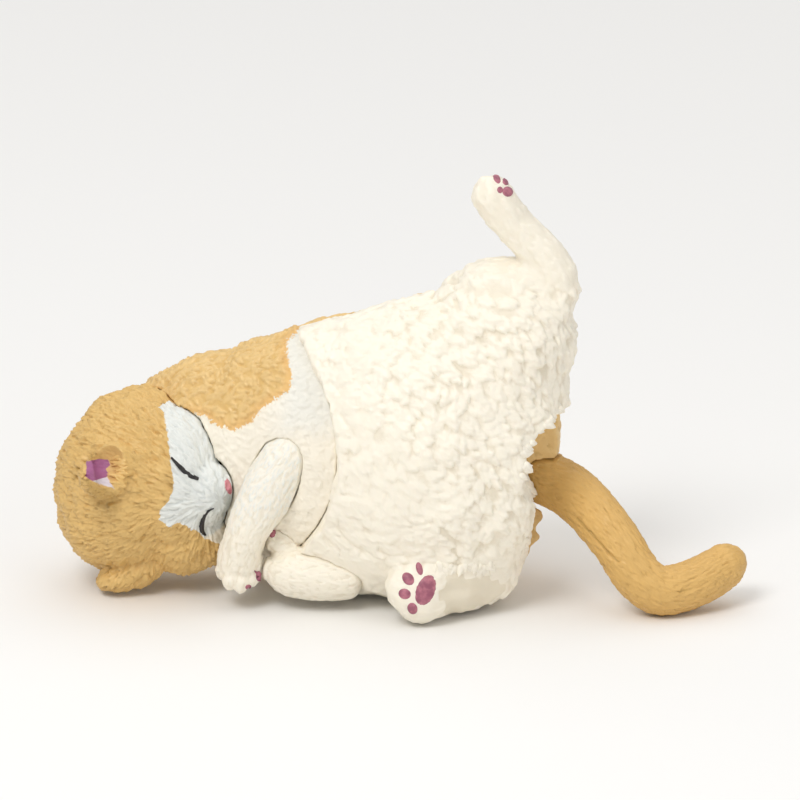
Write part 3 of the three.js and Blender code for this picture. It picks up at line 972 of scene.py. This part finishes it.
def dome(name, surface, pads, rise, rings=6, around=20, sunk=0.25):
    """Low domes on a surface. Each is an ellipse in the front view, in millimetres."""
    vertices, faces = [], []
    for x, height, half_wide, half_high, turn in pads:
        start = len(vertices)
        turn = math.radians(turn)
        _, facing = seen_at(surface, x, height)
        facing = (facing - VIEW_WAY).normalized()
        under = []
        spots = [(0.0, 0.0)] + [
            (ring / rings, 2 * math.pi * k / around) for ring in range(1, rings + 1) for k in range(around)
        ]
        for share, angle in spots:
            u, v = share * half_wide * math.cos(angle), share * half_high * math.sin(angle)
            across = u * math.cos(turn) - v * math.sin(turn)
            up = u * math.sin(turn) + v * math.cos(turn)
            for kept in PAD_RETREAT:
                spot = x + across * kept, height + up * kept
                if surface.ray_cast(in_view(*spot), VIEW_WAY)[0] is not None:
                    break
            place, normal = seen_at(surface, *spot)
            out = (facing * 2 + normal).normalized()
            lift = rise * math.sqrt(max(0.0, 1 - share**2.6)) - 0.04
            vertices.append(place + out * (lift * MM))
            under.append(place - out * (sunk * MM))
        top_count = len(spots)
        vertices.extend(under)
        for side, flip in ((0, False), (top_count, True)):
            base = start + side
            for k in range(around):
                ring_face = (base, base + 1 + k, base + 1 + (k + 1) % around)
                faces.append(ring_face[::-1] if flip else ring_face)
            for ring in range(rings - 1):
                for k in range(around):
                    a = base + 1 + ring * around + k
                    b = base + 1 + ring * around + (k + 1) % around
                    quad = (a, a + around, b + around, b)
                    faces.append(quad[::-1] if flip else quad)
        rim = start + 1 + (rings - 1) * around
        for k in range(around):
            a, b = rim + k, rim + (k + 1) % around
            faces.append((a, a + top_count, b + top_count, b))
    return closed_piece(name, vertices, faces)


def closed_piece(name, vertices, faces):
    """A mesh object whose faces all look outwards."""
    mesh = bpy.data.meshes.new(name)
    mesh.from_pydata([tuple(v) for v in vertices], [], faces)
    work = bmesh.new()
    work.from_mesh(mesh)
    bmesh.ops.recalc_face_normals(work, faces=work.faces)
    work.to_mesh(mesh)
    work.free()
    mesh.shade_smooth()
    return link(name, mesh)


def tufts(name, carrier, outline, way, count, jitter, seed, **values):
    """Pointed locks along an outline of the front view, snapped to a sculpted piece."""
    chance = np.random.default_rng(seed)
    surface = surface_of(carrier)
    mesh = bpy.data.meshes.new(name)
    places, ways, outs = [], [], []
    for x, height in smooth_path(outline, count):
        aside, above = chance.normal() * jitter * 0.5, chance.normal() * jitter * 0.5
        place, normal = seen_at(surface, x + aside, height + above)
        normal = (normal - VIEW_WAY * 0.5).normalized()
        lay = Vector(way) + Vector(chance.normal(size=3)) * jitter
        lay = (lay - normal * lay.dot(normal)).normalized()
        places.append(place - lay * (values["length"] * 0.35) - normal * (values["thickness"] * 0.15))
        ways.append(lay)
        outs.append(normal)
    mesh.from_pydata(places, [], [])
    store(mesh, "way", np.array(ways))
    store(mesh, "out", np.array(outs))
    store(mesh, "size", chance.uniform(0.7, 1.25, count))
    obj = dress(link(name, mesh), "tufts", **values)
    store(obj.data, "exposure", np.ones(len(obj.data.vertices)))
    obj.data.shade_smooth()
    return obj


def front_view(points):
    """Each point as X and height in the front view, in millimetres."""
    return np.column_stack(
        [points[:, 0], points[:, 2] * math.cos(LOOK_DOWN) + points[:, 1] * math.sin(LOOK_DOWN)]
    )


def inside_outline(flat, outline):
    """Signed distance to a closed outline in the front view: positive inside, in millimetres."""
    best = np.full(len(flat), 1e9)
    crossings = np.zeros(len(flat), int)
    for (ax, ay), (bx, by) in zip(outline, outline[1:] + outline[:1]):
        edge = np.array([bx - ax, by - ay])
        share = np.clip(((flat - (ax, ay)) @ edge) / (edge @ edge), 0, 1)
        near = np.array([ax, ay]) + share[:, None] * edge
        best = np.minimum(best, np.hypot(*(flat - near).T))
        if ay != by:
            cross = ((ay > flat[:, 1]) != (by > flat[:, 1])) & (
                flat[:, 0] < (bx - ax) * (flat[:, 1] - ay) / (by - ay) + ax
            )
            crossings += cross
    return np.where(crossings % 2 == 1, best, -best)


# ---------------------------------------------------------------- markings and painted shade, in the front view

UNPAINTED = -3.0  # millimetres outside an outline, which no border reaches
BRUSHED_ABOVE = 9.0
# The head's fur is combed away from the first point, and runs back in this direction.
FACE_CENTRE = np.array([-28.6, -5.5, 14.6])
FACE_BACK = np.array([-0.77, 0.63, -0.03])
# Where the ear's hollow is, which is kept smooth, and where its tight folds are filled.
EAR_HOLLOW = np.array([-41.2, -9.6, 20.2])
EAR_FILL = np.array([-37.4, -8.6, 19.5])
WHITE_FACE = [
    (-35.5, 23.7), (-34.6, 23.1), (-34.4, 22.1), (-34.0, 20.4), (-33.8, 18.6), (-33.6, 16.7),
    (-33.3, 14.8), (-33.3, 13.3), (-33.7, 12.0), (-34.4, 11.1), (-35.1, 10.4), (-35.0, 9.5),
    (-34.4, 9.0), (-33.8, 8.4), (-33.3, 8.6), (-32.7, 8.9), (-31.6, 8.5), (-31.2, 8.1),
    (-30.5, 8.1), (-29.9, 7.3), (-29.1, 6.7), (-22.0, 4.0), (-18.0, 14.0), (-24.0, 23.0), (-31.0, 27.0),
]
RUMP_EDGE = [
    (16.9, 23.6), (15.6, 22.0), (14.4, 20.6), (13.9, 19.3), (12.2, 18.4), (12.4, 16.8), (12.4, 14.8),
    (13.1, 13.0), (13.4, 11.4),
]
LEG_FRINGE = [(0.9, 3.5), (2.6, 3.2), (4.6, 3.3), (6.4, 3.1), (8.2, 3.5)]
TAIL_CUT_HALF_WIDTH = 0.34
TAIL_CUT_DEPTH = 0.22
TAIL_LINE = [(19.1, 9.4), (21.4, 6.9), (23.6, 4.5), (24.4, 3.9)]
EAR_EDGE = [(-40.2, 17.6), (-40.0, 16.6), (-39.9, 15.6), (-40.0, 14.6), (-40.2, 13.6)]
CREAM_CHIN = [(-29.4, 6.9), (-28.2, 7.4), (-26.8, 8.6), (-25.0, 9.4), (-22.0, 4.0), (-29.5, 4.0)]
GINGER_CHEST = [
    (-45.0, 20.0), (-36.0, 22.4), (-34.4, 23.8), (-33.5, 23.3), (-32.4, 22.8), (-31.6, 23.2), (-29.0, 22.8),
    (-28.1, 21.7), (-26.5, 21.3), (-25.7, 20.7), (-24.7, 21.3), (-23.1, 22.0), (-22.1, 23.5),
    (-20.2, 24.8), (-18.2, 26.1), (-17.8, 28.1), (-18.6, 30.7), (-18.5, 32.6), (-16.6, 34.0),
    (-10.0, 40.0), (-45.0, 45.0),
]
WAIST_WHITE = [(-19.5, 21.0), (-10.0, 21.0), (-12.0, 40.0), (-19.5, 40.0)]
EAR_PINK = [
    (-44.4, 16.9), (-42.9, 17.2), (-41.7, 17.1), (-41.4, 16.4), (-42.0, 15.9), (-41.6, 15.3), (-41.9, 14.8),
    (-43.5, 14.4), (-44.1, 14.8),
]
EAR_LILAC = [(-43.5, 14.5), (-41.8, 14.9), (-41.4, 14.3), (-40.9, 13.5), (-41.6, 13.6), (-42.7, 14.0)]
# Painted shade on the ginger: the shaded outer wall under the ear, and the shade over its pink.
EAR_UNDER_SHADE = [
    (-44.2, 14.4), (-43.2, 13.9), (-41.0, 13.3), (-40.2, 11.8), (-40.5, 10.5), (-42.2, 10.9), (-43.7, 11.8),
]
EAR_OVER_SHADE = [(-44.2, 17.9), (-43.2, 18.0), (-42.3, 17.6), (-42.1, 17.0), (-44.3, 16.9)]
# Each closed eye's line, and its widths from end to end as shares of the eye line's width.
EYES = (
    ("upper_eye", [(-33.5, 17.4), (-32.7, 16.5), (-31.3, 15.2), (-30.0, 14.6)], (0.55, 1.05, 1.45, 0.9)),
    ("lower_eye", [
        (-28.05, 10.8), (-28.8, 10.4), (-29.4, 9.5), (-29.7, 8.5), (-29.6, 7.75), (-29.2, 7.2),
    ], (0.4, 0.7, 1.05, 1.4, 1.3, 0.6)),
)
# The centre of each pad and of the nose in the front view, its half sizes and its turn in degrees.
HIND_PADS = (
    (-1.4, 3.1, 0.45, 0.9, 15), (-2.85, 1.8, 0.74, 0.95, 40), (-3.3, -0.15, 0.72, 0.85, 75),
    (-2.3, -2.05, 0.68, 0.82, 20), (-0.6, 0.3, 1.3, 2.15, -20),
)
RAISED_PADS = (
    (8.5, 53.2, 0.45, 0.75, 25), (9.7, 52.9, 0.5, 0.6, -10), (9.9, 51.5, 0.75, 0.7, 0),
    (8.9, 51.7, 0.4, 0.45, 0),
)
NOSE = ((-26.15, 13.6, 0.42, 1.1, 14),)
FORELEG_PADS = ((-22.1, 1.9, 0.55, 0.8, 0), (-23.6, 0.5, 0.4, 0.4, 0))
FOREPAW_PADS = ((-20.5, 7.7, 0.5, 0.8, 0),)


# ---------------------------------------------------------------- operators


class BuildOperator(bpy.types.Operator):
    """Base of the build steps."""

    bl_options = {"REGISTER"}

    @property
    def sizes(self):
        return bpy.context.scene.figurine_sizes

    @property
    def tint(self):
        return bpy.context.scene.figurine_colours


class FIGURINE_OT_head(BuildOperator):
    """Sculpts the head, with its fur combed back from the face"""

    bl_idname = "figurine.head"
    bl_label = "Head"

    def combed(self, points):
        """The points in a space where strands that run back from the face are pressed short."""
        from_face = points - FACE_CENTRE
        run = np.linalg.norm(from_face, axis=1)
        sides = from_face - np.outer(from_face @ FACE_BACK, FACE_BACK)
        sides /= np.maximum(np.linalg.norm(sides, axis=1), 1e-6)[:, None]
        return sides * 9.0 + np.outer(run * 0.3, FACE_BACK)

    def execute(self, context):
        sizes = self.sizes
        obj = even_skin("head_sculpt", "head", sizes.head_skin)
        skin = Skin(obj)
        skin.smooth(4)
        seen, open_air = prepared(skin, "head", crease_steps=60)
        skin.smooth(160, 0.5, smoothstep(3.3, 2.3, np.linalg.norm(skin.points - EAR_FILL, axis=1)))
        flat = front_view(skin.points)
        front = skin.points[:, 1] < 2.0
        white = np.where(front, inside_outline(flat, WHITE_FACE), UNPAINTED)
        near_ear = skin.points[:, 1] < -5.0
        pink = np.where(near_ear, inside_outline(flat, EAR_PINK), UNPAINTED)
        lilac = np.where(near_ear, inside_outline(flat, EAR_LILAC), UNPAINTED)
        for name, values in (
            ("white_edge", white), ("cream_edge", inside_outline(flat, CREAM_CHIN)),
            ("ear_edge", pink), ("lilac_edge", lilac), ("exposure", seen),
            ("shade_edge", np.maximum(*(inside_outline(flat, shade) for shade in (EAR_UNDER_SHADE, EAR_OVER_SHADE)))),
        ):
            skin.keep(name, values)
        ear_way = (skin.points - EAR_HOLLOW) / np.array([3.3, 4.6, 3.4])
        ear = smoothstep(1.1, 0.9, np.linalg.norm(ear_way, axis=1))
        skin.comb(skin.points - FACE_CENTRE)
        on_face = smoothstep(-0.4, 0.6, white)
        depth = (sizes.head_depth / MM) * (1 - 0.5 * on_face) * open_air * (1 - 0.85 * ear)
        fur(obj, skin, depth, self.combed(skin.points), 1 - 0.35 * on_face, lock_length=sizes.head_lock,
            lock_width=sizes.head_lock * 0.24, lock_spacing=sizes.head_lock * 0.3, spread=0.3,
            fine_size=0.42, fine_share=0.35, billow=0.5, billow_size=0.0032, seed=sizes.seed,
            material=head_material(self.tint))
        handed(obj, "head", "head")
        return {"FINISHED"}


class FIGURINE_OT_chest(BuildOperator):
    """Sculpts the chest, with short ruffled fur and a sprayed ginger back"""

    bl_idname = "figurine.chest"
    bl_label = "Chest"

    def execute(self, context):
        sizes = self.sizes
        obj = even_skin("chest_sculpt", "chest", sizes.skin)
        skin = Skin(obj)
        skin.smooth(3)
        seen, open_air = prepared(skin, "chest", crease_steps=0)
        flat = front_view(skin.points)
        ginger = inside_outline(flat, GINGER_CHEST)
        ginger = np.maximum(ginger, (skin.points[:, 1] - 4.0) * 0.8)
        skin.keep("ginger_edge", ginger)
        strip = np.where(skin.points[:, 1] < 3, inside_outline(flat, WAIST_WHITE), UNPAINTED)
        skin.keep("white_edge", strip)
        skin.keep("exposure", seen)
        turn = clouds(skin.points, 4.0, 3.0) * 1.4
        skin.comb(np.column_stack([np.cos(turn), np.zeros(skin.count), np.sin(turn) - 0.45]))
        on_ginger = smoothstep(-0.5, 1.0, ginger)
        depth = (sizes.chest_depth / MM) * open_air * (0.6 + 0.4 * on_ginger)
        fur(obj, skin, depth, None, 1.35 - 0.45 * on_ginger, lock_length=sizes.chest_lock,
            lock_width=sizes.chest_lock * 0.4, lock_spacing=sizes.chest_lock * 0.72, spread=0.9,
            fine_size=0.5, fine_share=0.3, billow=0.5, billow_size=0.004, seed=sizes.seed + 1,
            material=chest_material(self.tint))
        handed(obj, "torso", "chest")
        return {"FINISHED"}


class FIGURINE_OT_forelegs(BuildOperator):
    """Sculpts both forelegs, with short soft fur down to the toes"""

    bl_idname = "figurine.forelegs"
    bl_label = "Forelegs"

    def execute(self, context):
        sizes = self.sizes
        material = foreleg_material(self.tint)
        for node, body, way, number in (
            ("left_foreleg", "left_foreleg", (-0.38, 0.0, -0.92), 2),
            ("right_foreleg", "torso", (-1.0, 0.0, 0.12), 3),
        ):
            obj = even_skin(node + "_sculpt", node, sizes.head_skin)
            skin = Skin(obj)
            skin.smooth(3)
            seen, open_air = prepared(skin, node, crease_steps=12)
            skin.keep("exposure", seen)
            above = front_view(skin.points)[:, 1] - BRUSHED_ABOVE
            skin.keep("white_edge", above if node == "left_foreleg" else np.full(skin.count, UNPAINTED))
            turn = clouds(skin.points, 4.0, 5.0)[:, None] * 0.5
            skin.comb(np.array(way) + turn * np.array([0.9, 0, -0.4]))
            depth = (sizes.leg_depth / MM) * open_air
            fur(obj, skin, depth, lock_length=sizes.leg_lock, lock_width=sizes.leg_lock * 0.32,
                lock_spacing=sizes.leg_lock * 0.6, spread=0.35, fine_size=0.5, fine_share=0.3, billow=0.35,
                billow_size=0.003, seed=sizes.seed + number, material=material)
            handed(obj, body, node)
        return {"FINISHED"}


class FIGURINE_OT_rear(BuildOperator):
    """Sculpts the belly shell and the back shell, with deep overlapping locks"""

    bl_idname = "figurine.rear"
    bl_label = "Belly and back shells"

    def tuck_under(self, skin):
        """Turns the front of the lower hind leg towards the ground."""
        x, height = front_view(skin.points).T
        share = smoothstep(2.8, -0.4, height) * smoothstep(-0.2, 3.0, x) * smoothstep(10.5, 8.0, x)
        skin.points[:, 1] += (1.2 + 0.6 * clouds(skin.points, 2.4, 7.0)) * share * (skin.points[:, 1] < -5)
        skin.refresh()

    def swell_rump(self, skin):
        """Lumps on the back shell that stand out under the tail, past the belly's edge."""
        x, height = front_view(skin.points).T
        share = smoothstep(0.5, 3.5, height) * smoothstep(11.8, 9.8, height) * smoothstep(7.0, 10.5, x)
        share *= smoothstep(0.0, 0.6, skin.normals[:, 0])
        skin.points[:, 0] += skin.blur(share * (2.2 + 1.3 * clouds(skin.points, 1.9, 2.0)), 12)
        skin.refresh()

    def belly_ways(self, points):
        turn = clouds(points, 7.0, 1.0) * 1.1 + clouds(points, 2.5, 9.0) * 0.5
        angle = turn - 0.85
        ways = np.column_stack([np.cos(angle), np.zeros(len(points)), np.sin(angle)])
        leg = smoothstep(41.5, 44.5, points[:, 2])[:, None]
        ways = ways * (1 - leg) + np.array([-0.6, 0.0, 0.8]) * leg
        foot = hind_foot(points)[:, None]
        return ways * (1 - foot) + np.array([-0.95, -0.3, 0.1]) * foot

    def execute(self, context):
        sizes = self.sizes
        back_paint = ginger_material(self.tint, "Back paint", self.tint.ginger_light, shading=0.4)
        plan = (
            ("belly_shell", sizes.belly_lock, sizes.belly_depth, cream_material(self.tint), 4),
            ("back_shell", sizes.back_lock, sizes.back_depth, back_paint, 5),
        )
        for node, lock, relief, material, number in plan:
            obj = even_skin(node + "_sculpt", node, sizes.skin)
            skin = Skin(obj)
            skin.smooth(3)
            if node == "belly_shell":
                self.tuck_under(skin)
            else:
                self.swell_rump(skin)
            seen, open_air = prepared(skin, node, crease_steps=260)
            skin.keep("exposure", seen)
            p = skin.points
            depth = (relief / MM) * open_air
            size = np.ones(skin.count)
            if node == "belly_shell":
                skin.comb(self.belly_ways(p))
                rightness = smoothstep(-12.0, 8.0, p[:, 0] + (p[:, 2] - 20) * 0.25)
                leg = smoothstep(42.0, 45.0, p[:, 2])
                foot = hind_foot(p)
                calm = 0.88 + 0.3 * clouds(p, 6.0, 2.0)
                depth *= calm * (0.8 + 0.2 * rightness) * (1 - 0.6 * leg) * (1 - 0.6 * foot)
                size = (1.1 - 0.25 * rightness) * (1 - 0.25 * leg) * (1 - 0.25 * foot)
            else:
                aside, down = 0.2 * clouds(p, 7.0), 0.5 * clouds(p, 5.0, 4.0) - 0.2
                skin.comb(np.column_stack([np.ones(len(p)), aside, down]))
            fur(obj, skin, depth, None, size, lock_length=lock, lock_width=lock * 0.5,
                lock_spacing=lock * 0.66, spread=0.6, fine_size=0.38, fine_share=0.3, billow=0.8,
                billow_size=0.005, seed=sizes.seed + number, material=material)
            Skin(obj).smooth(2, 0.45)
            handed(obj, "torso", node)
        return {"FINISHED"}


class FIGURINE_OT_tail(BuildOperator):
    """Sculpts the tail, with long fur combed towards its tip"""

    bl_idname = "figurine.tail"
    bl_label = "Tail"

    def execute(self, context):
        sizes = self.sizes
        obj = even_skin("tail_sculpt", "tail", sizes.head_skin)
        skin = Skin(obj)
        skin.smooth(4)
        seen, open_air = prepared(skin, "tail", crease_steps=0)
        line = np.min([
            np.linalg.norm(front_view(skin.points) - spot, axis=1) for spot in smooth_path(TAIL_LINE, 60)
        ], axis=0)
        cut = smoothstep(TAIL_CUT_HALF_WIDTH, 0.05, line) * (skin.normals[:, 1] < 0)
        skin.points -= skin.normals * (TAIL_CUT_DEPTH * cut)[:, None]
        skin.refresh()
        # The cut is stored as shut, which gives it painted shade along its line.
        skin.keep("exposure", seen * (1 - cut))
        x = skin.points[:, 0]
        stations = np.linspace(x.min() + 3, x.max() - 1, 16)
        middle = np.array([skin.points[np.abs(x - s) < 1.2].mean(0) for s in stations])
        ways = np.gradient(middle, axis=0)
        skin.comb(np.column_stack([np.interp(x, stations, ways[:, k]) for k in range(3)]))
        centre = np.column_stack([np.interp(x, stations, middle[:, k]) for k in range(3)])
        combed = (skin.points - centre) * np.array([0.0, 1.0, 1.0]) + np.outer(x * 0.2, (1.0, 0.0, 0.0))
        depth = (sizes.tail_depth / MM) * open_air
        fur(obj, skin, depth, combed, None, lock_length=sizes.tail_lock, lock_width=sizes.tail_lock * 0.15,
            lock_spacing=sizes.tail_lock * 0.24, spread=0.16, fine_size=0.55, fine_share=0.3, billow=0.1,
            billow_size=0.004, seed=sizes.seed + 6,
            material=ginger_material(self.tint, "Tail paint", self.tint.ginger_tail, 0.36, 0.5))
        handed(obj, "tail", "tail")
        return {"FINISHED"}


class FIGURINE_OT_face(BuildOperator):
    """Paints the closed eyes and the nose as thin raised pieces on the face"""

    bl_idname = "figurine.face"
    bl_label = "Face"

    def execute(self, context):
        sizes, tint = self.sizes, self.tint
        surface = surface_of("head_sculpt")
        line = plain_material("Line paint", rgb(tint.line), srgb(44, 40, 40), 0.38)
        for name, points, widths in EYES:
            obj = ribbon(name, surface, points, [w * sizes.eye_line / MM for w in widths])
            obj.data.materials.append(line)
            handed(obj, "head", None)
        nose = dome("nose", surface, NOSE, rise=0.26)
        nose.data.materials.append(plain_material("Nose paint", rgb(tint.nose), srgb(202, 112, 124), 0.42))
        handed(nose, "head", None)
        return {"FINISHED"}


class FIGURINE_OT_pads(BuildOperator):
    """Adds the pads of the paws"""

    bl_idname = "figurine.pads"
    bl_label = "Pads"

    def execute(self, context):
        rose = plain_material("Pad paint", rgb(self.tint.rose), rgb(self.tint.rose_groove), 0.46)
        for name, carrier, body, slot, pads in (
            ("hind_pads", "belly_shell_sculpt", "torso", "belly_shell", HIND_PADS),
            ("raised_pads", "belly_shell_sculpt", "torso", "belly_shell", RAISED_PADS),
            ("foreleg_pads", "left_foreleg_sculpt", "left_foreleg", "left_foreleg", FORELEG_PADS),
            ("forepaw_pad", "right_foreleg_sculpt", "torso", "right_foreleg", FOREPAW_PADS),
        ):
            obj = dome(name, surface_of(carrier), pads, rise=0.22)
            obj.data.materials.append(rose)
            handed(obj, body, None)
        return {"FINISHED"}


class FIGURINE_OT_tufts(BuildOperator):
    """Sets pointed tufts along the rump's edge, over the lower hind leg and in the ear"""

    bl_idname = "figurine.tufts"
    bl_label = "Tufts"

    def execute(self, context):
        tint = self.tint
        cream = cream_material(tint)
        rump = tufts(
            "rump_tufts", "belly_shell_sculpt", RUMP_EDGE, (0.85, 0.2, -0.45), count=70, jitter=0.35,
            seed=self.sizes.seed, length=0.0015, width=0.0011, thickness=0.0009, curl=-0.05, material=cream,
        )
        handed(rump, "torso", None)
        fringe = tufts(
            "leg_fringe", "belly_shell_sculpt", LEG_FRINGE, (0.15, -0.1, -1.0), count=34, jitter=0.45,
            seed=self.sizes.seed + 3, length=0.0015, width=0.0011, thickness=0.0009, curl=0.1,
            material=cream,
        )
        handed(fringe, "torso", None)
        ear = tufts(
            "ear_tufts", "head_sculpt", EAR_EDGE, (-0.95, -0.1, 0.2), count=16, jitter=0.3,
            seed=self.sizes.seed + 1, length=0.0021, width=0.0007, thickness=0.0006, curl=-0.05,
            material=ginger_material(tint, "Ear tuft paint", tint.ginger),
        )
        handed(ear, "head", None)
        return {"FINISHED"}


class FIGURINE_OT_neck_pin(BuildOperator):
    """Gives the neck pin its black plastic"""

    bl_idname = "figurine.neck_pin"
    bl_label = "Neck pin"

    def execute(self, context):
        tint = self.tint
        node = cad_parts["neck_pin"]
        material = plain_material("Pin plastic", rgb(tint.pin), srgb(24, 24, 26), 0.42)
        if not node.material_slots:
            node.data.materials.append(material)
        for slot in node.material_slots:
            slot.material = material
        return {"FINISHED"}


class FIGURINE_OT_stage(BuildOperator):
    """Lays the floor, hangs soft lights and places the camera"""

    bl_idname = "figurine.stage"
    bl_label = "Stage"

    def execute(self, context):
        scene = context.scene
        mesh = bpy.data.meshes.new("floor")
        half = 2.0
        drop = 0.0002  # just under the ground plane that the figurine was packed on
        corners = [(-half, -half), (half, -half), (half, half), (-half, half)]
        mesh.from_pydata([(x, y, -drop) for x, y in corners], [], [(0, 1, 2, 3)])
        floor = link("floor", mesh)
        material, t, shader = new_material("Floor", 0.7)
        paper = rgb(self.tint.floor)
        t.put(shader.inputs["Base Color"], t.mix(t.noise(6.0, 2.0), paper, tuple(c * 0.985 for c in paper)))
        mesh.materials.append(material)

        world = bpy.data.worlds.new("Studio")
        world.use_nodes = True
        world.node_tree.nodes["Background"].inputs["Color"].default_value = (1.0, 0.995, 0.985, 1)
        world.node_tree.nodes["Background"].inputs["Strength"].default_value = 0.42
        scene.world = world
        # Each light's place and size in metres, and its power in watts.
        for name, place, size, power in (
            ("key", (-0.3, -0.52, 0.72), 0.35, 3.6),
            ("fill", (0.6, -0.6, 0.45), 0.5, 0.8),
            ("overhead", (0.0, 0.5, 2.2), 3.6, 30.0),
        ):
            light = bpy.data.lights.new(name, "AREA")
            light.size = size
            light.energy = power
            lamp = bpy.data.objects.new(name, light)
            lamp.location = place
            lamp.rotation_mode = "QUATERNION"
            lamp.rotation_quaternion = (-Vector(place)).to_track_quat("-Z", "Y")
            scene.collection.objects.link(lamp)
        scene.view_settings.view_transform = "Standard"

        camera = bpy.data.cameras.new("camera")
        distance = 0.9
        picture_width = 0.104
        aim = Vector((-3.9, 0, 26.1)) * MM
        camera.sensor_width = 36.0
        camera.lens = 18.0 / (picture_width / 2 / distance)
        camera.clip_start = 0.01
        camera.clip_end = 10
        view = bpy.data.objects.new("camera", camera)
        back = Vector((0, -math.cos(LOOK_DOWN), math.sin(LOOK_DOWN)))
        view.location = aim + back * distance
        view.rotation_mode = "QUATERNION"
        view.rotation_quaternion = (-back).to_track_quat("-Z", "Y")
        scene.collection.objects.link(view)
        scene.camera = view
        return {"FINISHED"}


STEPS = (
    FIGURINE_OT_stage,
    FIGURINE_OT_head,
    FIGURINE_OT_chest,
    FIGURINE_OT_forelegs,
    FIGURINE_OT_rear,
    FIGURINE_OT_tail,
    FIGURINE_OT_face,
    FIGURINE_OT_pads,
    FIGURINE_OT_tufts,
    FIGURINE_OT_neck_pin,
)


class FIGURINE_PT_panel(bpy.types.Panel):
    """Lists the build steps, sizes and colours"""

    bl_idname = "FIGURINE_PT_panel"
    bl_label = "Sleeping Cat Figurine"
    bl_space_type = "VIEW_3D"
    bl_region_type = "UI"
    bl_category = "Figurine"

    def draw(self, context):
        column = self.layout.column()
        for step in STEPS:
            column.operator(step.bl_idname)
        for group_name in ("figurine_sizes", "figurine_colours"):
            values = getattr(context.scene, group_name)
            box = self.layout.box()
            for name in values.__annotations__:
                box.prop(values, name)


CLASSES = (FigurineSizes, FigurineColours, *STEPS, FIGURINE_PT_panel)


def register():
    for one in CLASSES:
        bpy.utils.register_class(one)
    bpy.types.Scene.figurine_sizes = bpy.props.PointerProperty(type=FigurineSizes)
    bpy.types.Scene.figurine_colours = bpy.props.PointerProperty(type=FigurineColours)


def unregister():
    del bpy.types.Scene.figurine_colours
    del bpy.types.Scene.figurine_sizes
    for one in reversed(CLASSES):
        bpy.utils.unregister_class(one)


def main():
    register()
    for step in STEPS:
        area, name = step.bl_idname.split(".")
        getattr(getattr(bpy.ops, area), name)()


if __name__ == "__main__":
    main()
